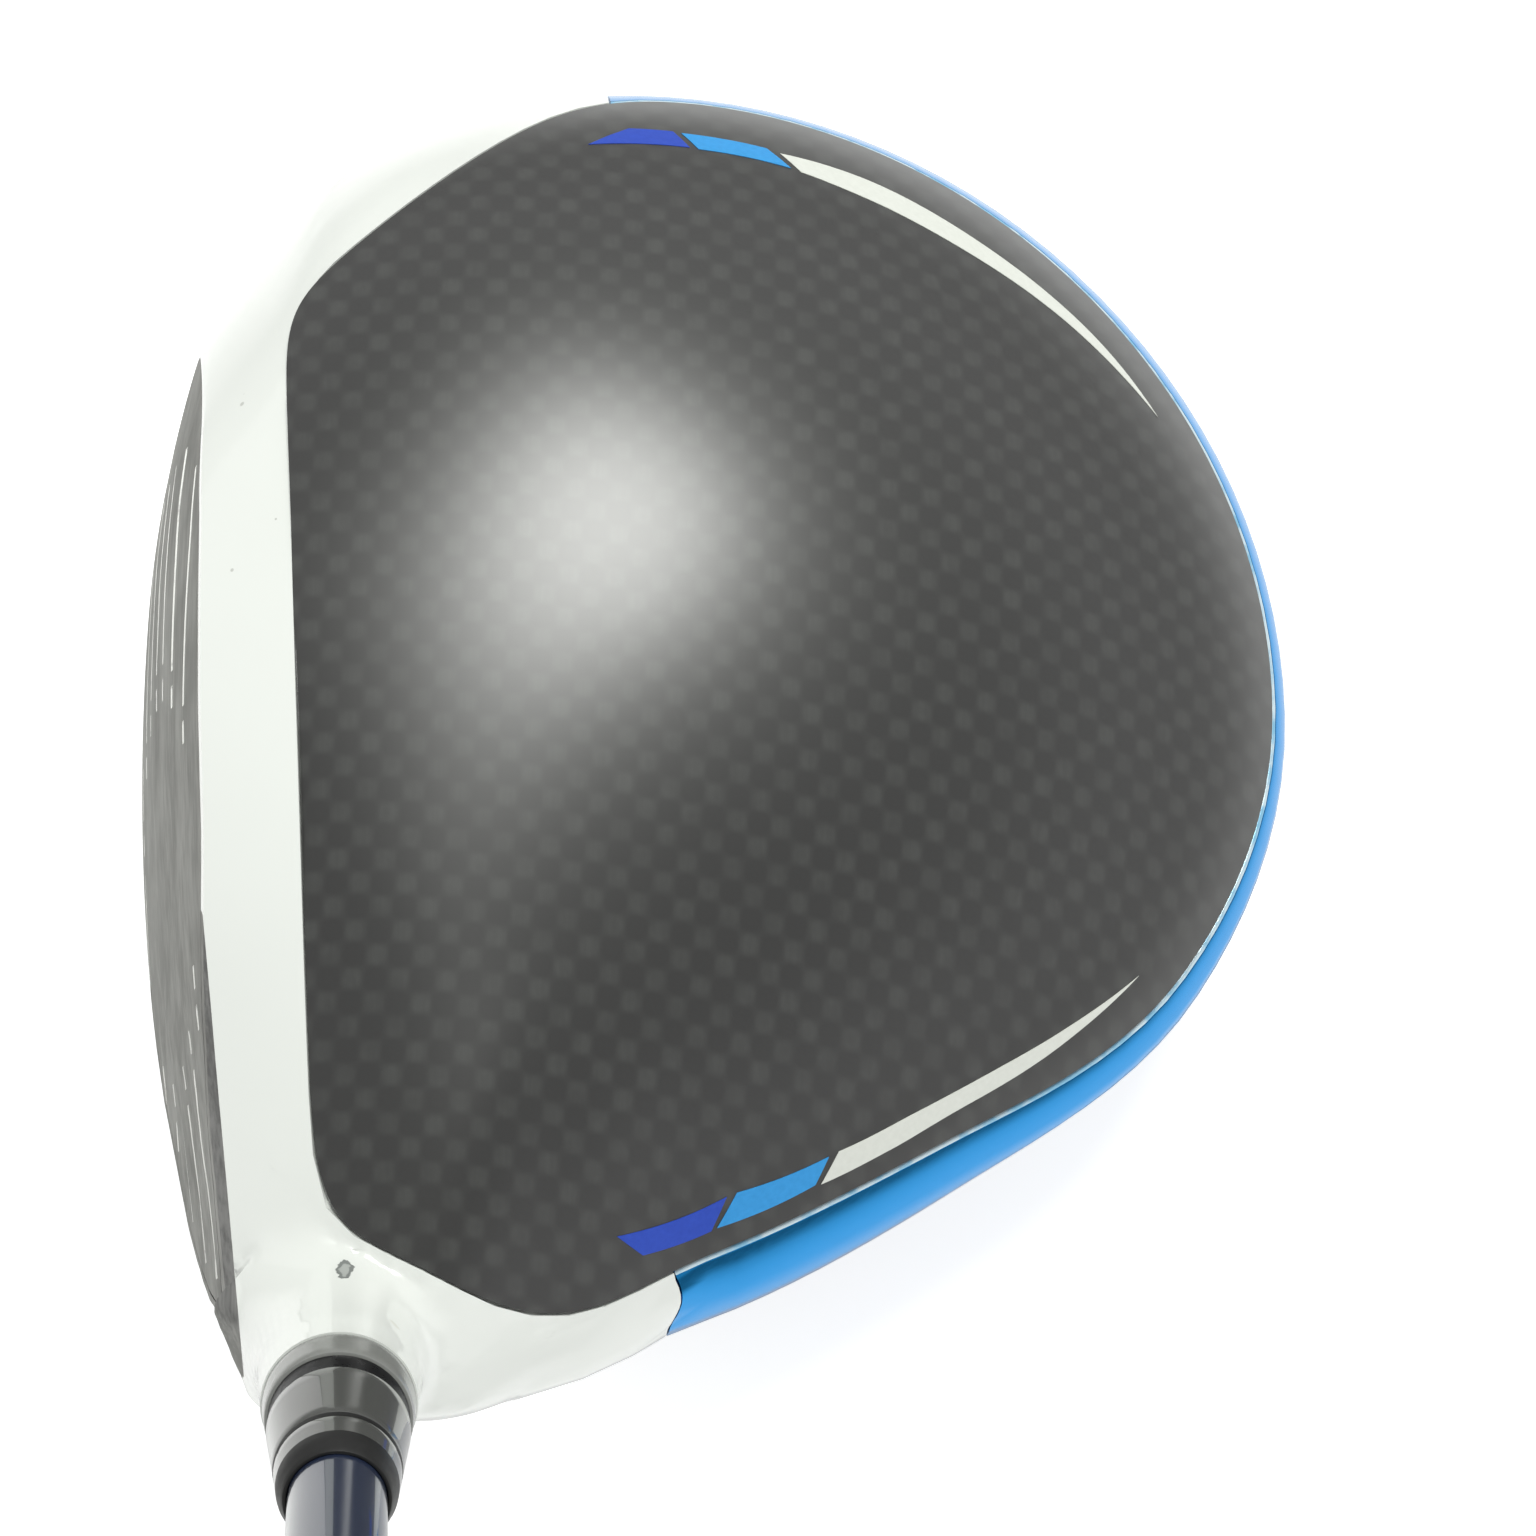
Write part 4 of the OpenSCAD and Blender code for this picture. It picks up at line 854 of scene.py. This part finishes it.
ferrule_black = lacquer("gloss_black_ferrule", rgb(0.055, 0.057, 0.053), rgb(0.070, 0.072, 0.068), 0.06, 1.7)
sleeve_black = satin("black_anodised_sleeve", rgb(0.014, 0.014, 0.015), rgb(0.024, 0.024, 0.026), 0.6, 0.25,
                     0.4, 1300.0)
# The band in the groove is coloured near black: painted shade.
band_dark = satin("groove_painted_shade", rgb(0.004, 0.004, 0.004), rgb(0.010, 0.010, 0.010), 0.0, 0.5, 0.6, 1300.0)
collar_grey = lacquer("smoke_grey_collar", rgb(0.18, 0.186, 0.174), rgb(0.215, 0.222, 0.21), 0.2, 1.6)
STACK = (
    ("loft_sleeve", "sleeve", sleeve_black, "sleeve_black", 0.0),
    ("sleeve_collar", "collar_ring", collar_grey, "collar_black", 0.25),
    ("ferrule", "tapered_ferrule", ferrule_black, "ferrule_black", 0.09),
    ("ferrule_band", "groove_band", band_dark, "band_dark", 0.0),
)
FERRULE_END = 85.6 * MM
# The ferrule's end is matt, and coloured near black as painted shade.
end_painted_shade = satin("matt_end_painted_shade", rgb(0.008, 0.008, 0.008), rgb(0.014, 0.014, 0.014), 0.0, 0.42, 0.5,
                  1500.0)
for node, name, finish, slot, edge_round in STACK:
    part = merged_copy(node)
    if edge_round:
        rounded(part, sharp_edges(part, RIM_ANGLE), edge_round * MM)
    finishes = [finish, end_painted_shade] if node == "ferrule" else [finish]
    # Faces past the ferrule's end take the near-black finish of painted shade.
    for face in part.faces:
        at_end = shaft_reach(face.calc_center_median())[0] > FERRULE_END
        face.material_index = int(at_end and node == "ferrule")
    shade(part)
    place(part, name, "shaft_assembly", finishes, slot, [node])

# %% [markdown]
# ## The shaft
# The graphite shaft is sanded, painted a dark navy and lacquered. Under the gloss the paint has a very
# fine metallic fleck.

# %% Dress the shaft
shaft_navy = lacquer("navy_shaft_lacquer", rgb(0.012, 0.018, 0.042), rgb(0.022, 0.032, 0.066), 0.04, 1.6)
tape_paper = satin("grip_tape_paper", rgb(0.60, 0.55, 0.42), rgb(0.70, 0.66, 0.54), 0.0, 0.7, 0.85, 600.0)
for node, name, finish, slot in (("shaft", "graphite_shaft", shaft_navy, "shaft_navy"),
                                 ("grip_tape", "tape_layer", tape_paper, "tape_paper")):
    part = merged_copy(node)
    shade(part)
    place(part, name, "shaft_assembly", [finish], slot, [node])

# %% [markdown]
# ## The grip
# A rubber grip is a tapered tube with a pattern cut into it. We draw its half section as a chain of
# edges along the shaft's line, with a shallow groove every few millimetres, and spin it
# once round. The cap copies the CAD solid.

# %% Spin the grip
GRIP_FOOT, CAP_FOOT = 895 * MM, 1156 * MM
MOUTH_R, BUTT_R, CAP_R, BORE_R = 9 * MM, 13.25 * MM, 14 * MM, 7.9 * MM
GRIP_LIP, GRIP_FLARE, FULLNESS = 1.5 * MM, 12 * MM, 1.3
GROOVE_PITCH, GROOVE_HALF, GROOVE_DEEP = 3.2 * MM, 0.5 * MM, 0.35 * MM
PLAIN_BANDS = ((0.0, 0.06), (0.30, 0.345), (0.62, 0.665), (0.95, 1.01))
SPIN_STEPS, GRIP_CRISP = 56, math.radians(50)
to_shaft = Matrix.Translation(SHAFT_FOOT) @ Matrix.Rotation(math.pi / 2 - LIE, 4, "X")
rubber = satin("ribbed_grip_rubber", rgb(0.016, 0.016, 0.017), rgb(0.030, 0.030, 0.031), 0.0, 0.62, 0.78,
               1400.0, 0.03)

flare_foot = CAP_FOOT - GRIP_FLARE
start = GRIP_FOOT + GRIP_LIP


def grip_radius(height):
    """The radius of the grip's skin at a height up the shaft's line."""
    share = (height - start) / (flare_foot - start)
    return MOUTH_R + (BUTT_R - MOUTH_R) * max(share, 0) ** FULLNESS


section = [(BORE_R, GRIP_FOOT), (MOUTH_R - GRIP_LIP / 2, GRIP_FOOT), (MOUTH_R, start)]
height = start + GROOVE_PITCH
while height < flare_foot - GROOVE_PITCH / 2:
    share = (height - start) / (flare_foot - start)
    cut = 0.0 if any(a <= share <= b for a, b in PLAIN_BANDS) else GROOVE_DEEP
    for offset, depth in ((-1.0, 0.0), (-0.5, cut), (0.5, cut), (1.0, 0.0)):
        level = height + offset * GROOVE_HALF
        section.append((grip_radius(level) - depth, level))
    height += GROOVE_PITCH
section += [(BUTT_R, flare_foot), (CAP_R, CAP_FOOT), (BORE_R, CAP_FOOT)]
grip = bmesh.new()
chain = [grip.verts.new((radius, 0, level)) for radius, level in section]
links = [grip.edges.new(pair) for pair in zip(chain, chain[1:] + chain[:1])]
bmesh.ops.spin(grip, geom=chain + links, cent=(0, 0, 0), axis=(0, 0, 1), angle=2 * math.pi,
               steps=SPIN_STEPS, use_merge=True)
bmesh.ops.remove_doubles(grip, verts=grip.verts, dist=WELD)
bmesh.ops.recalc_face_normals(grip, faces=grip.faces)
bmesh.ops.transform(grip, matrix=to_shaft, verts=grip.verts)
shade(grip, GRIP_CRISP)
place(grip, "ribbed_grip", "shaft_assembly", [rubber], "grip_rubber", ["grip"])
cap = merged_copy("grip_cap")
shade(cap)
place(cap, "butt_cap", "shaft_assembly", [rubber], "grip_rubber", ["grip_cap"])

# %% [markdown]
# ## Floor, sky and lights
# The photograph was taken on white under soft light. The floor and the sky look white to the camera, and
# give the object plain soft light. Reflections show what a small studio has: a white board round the
# object, a dimmer room beyond it and a dim ceiling, which gives gloss and metal their dark bands. One
# softbox high on the toe side makes the round glow on the satin crown. A camera under the floor looks
# through its back, so that the sole can be seen.

# %% Lay the floor
FLOOR_HALF = 4.0
FLOOR_GLOW, BOARD_GLOW, FLOOR_LIFT = 0.6, 0.2, 0.55
BOARD_MIDDLE = Vector((0, -10, 0)) * MM
BOARD_REACH, ROOM_REACH = 95 * MM, 200 * MM
ROOM_DIM = 0.78


def rays(finish, first, *others):
    """A value of 1 for these kinds of ray and 0 for the rest."""
    path = add(finish, "ShaderNodeLightPath")
    total = path.outputs[first]
    for other in others:
        total = calc(finish, "MAXIMUM", total, path.outputs[other])
    return total


floor_white = new_finish("white_floor", roughness=0.9, specular_ior_level=0.0, emission_color=rgb(1, 1, 1))
beyond = spread(floor_white, distance_to(floor_white, BOARD_MIDDLE), BOARD_REACH, ROOM_REACH, 0.0, ROOM_DIM)
mirrored_floor = rays(floor_white, "Is Glossy Ray", "Is Transmission Ray")
dimmed = calc(floor_white, "MULTIPLY", beyond, mirrored_floor)
to_shader(floor_white, base_color=tint(floor_white, dimmed, rgb(0.80, 0.80, 0.80), rgb(0, 0, 0)))
board_glow = calc(floor_white, "MULTIPLY", calc(floor_white, "SUBTRACT", mirrored_floor, dimmed), BOARD_GLOW)
camera_glow = calc(floor_white, "MULTIPLY", rays(floor_white, "Is Camera Ray"), FLOOR_GLOW)
bounce = calc(floor_white, "MULTIPLY", rays(floor_white, "Is Diffuse Ray"), FLOOR_LIFT)
glow = calc(floor_white, "ADD", calc(floor_white, "ADD", board_glow, camera_glow), bounce)
to_shader(floor_white, emission_strength=glow)

floor_nodes = floor_white.node_tree.nodes
under_side = add(floor_white, "ShaderNodeNewGeometry").outputs["Backfacing"]
from_below = calc(floor_white, "MULTIPLY", rays(floor_white, "Is Camera Ray"), under_side)
solid = floor_nodes["Principled BSDF"].outputs["BSDF"]
clear = add(floor_white, "ShaderNodeBsdfTransparent").outputs["BSDF"]
pane = add(floor_white, "ShaderNodeMixShader", {0: from_below, 1: solid, 2: clear})
join(floor_white, pane.outputs["Shader"], floor_nodes["Material Output"].inputs["Surface"])

floor_mesh = bmesh.new()
bmesh.ops.create_grid(floor_mesh, x_segments=1, y_segments=1, size=FLOOR_HALF)
floor_data = bpy.data.meshes.new("floor")
floor_mesh.to_mesh(floor_data)
floor_mesh.free()
floor_data.materials.append(floor_white)
floor = bpy.data.objects.new("floor", floor_data)
bpy.context.scene.collection.objects.link(floor)
print("floor laid")

# %% Light the sky
SKY_GOLFER, SKY_TOE = 1.25, 0.6
SKY_LOW, SKY_HIGH = 1.1, 0.45
HORIZON, CEILING = 0.6, 0.28
CEILING_FROM, CEILING_FULL = 0.0, 0.7


def sky_mix(share, low, high, start=0.0):
    """A level of light that goes evenly from low, where share is start, to high, where it is 1."""
    return add(sky, "ShaderNodeMapRange", {"Value": share, "From Min": start, "To Min": low,
                                           "To Max": high}).outputs["Result"]


sky = bpy.data.worlds.new("white_sky")
sky.use_nodes = True
background = sky.node_tree.nodes["Background"]
background.inputs["Color"].default_value = rgb(1, 1, 1)
direction = add(sky, "ShaderNodeTexCoord").outputs["Generated"]
way = add(sky, "ShaderNodeSeparateXYZ", {0: direction}).outputs
room = spread(sky, way["Z"], CEILING_FROM, CEILING_FULL, HORIZON, CEILING)
sides = sky_mix(way["Y"], SKY_GOLFER, SKY_TOE, start=-1.0)
lit_sky = calc(sky, "MULTIPLY", sides, sky_mix(way["Z"], SKY_LOW, SKY_HIGH))
around = sky_mix(rays(sky, "Is Glossy Ray", "Is Transmission Ray"), lit_sky, room)
seen = sky_mix(rays(sky, "Is Camera Ray"), around, 1.0)
join(sky, seen, background.inputs["Strength"])
bpy.context.scene.world = sky
print("sky lit")

# %% Hang the softbox
CROWN_SPOT = Vector((-13.2, 5.3, 62.9)) * MM
SOFTBOX_WAY = Vector((0.075, 0.419, 0.910)).normalized()
SOFTBOX_AWAY = 0.9
SOFTBOX_SIZE = 0.46
SOFTBOX_POWER = 6.7
SOFTBOX_TINT = (0.985, 1.0, 0.96)
box_data = bpy.data.lights.new("softbox", "AREA")
box_data.shape = "DISK"
box_data.size = SOFTBOX_SIZE
box_data.energy = SOFTBOX_POWER
box_data.color = SOFTBOX_TINT
softbox = bpy.data.objects.new("softbox", box_data)
bpy.context.scene.collection.objects.link(softbox)
softbox.matrix_world = aimed(CROWN_SPOT + SOFTBOX_WAY * SOFTBOX_AWAY, SOFTBOX_WAY, Vector((0, 1, 0)))
bpy.context.scene.view_settings.view_transform = "Standard"
print("softbox hung")
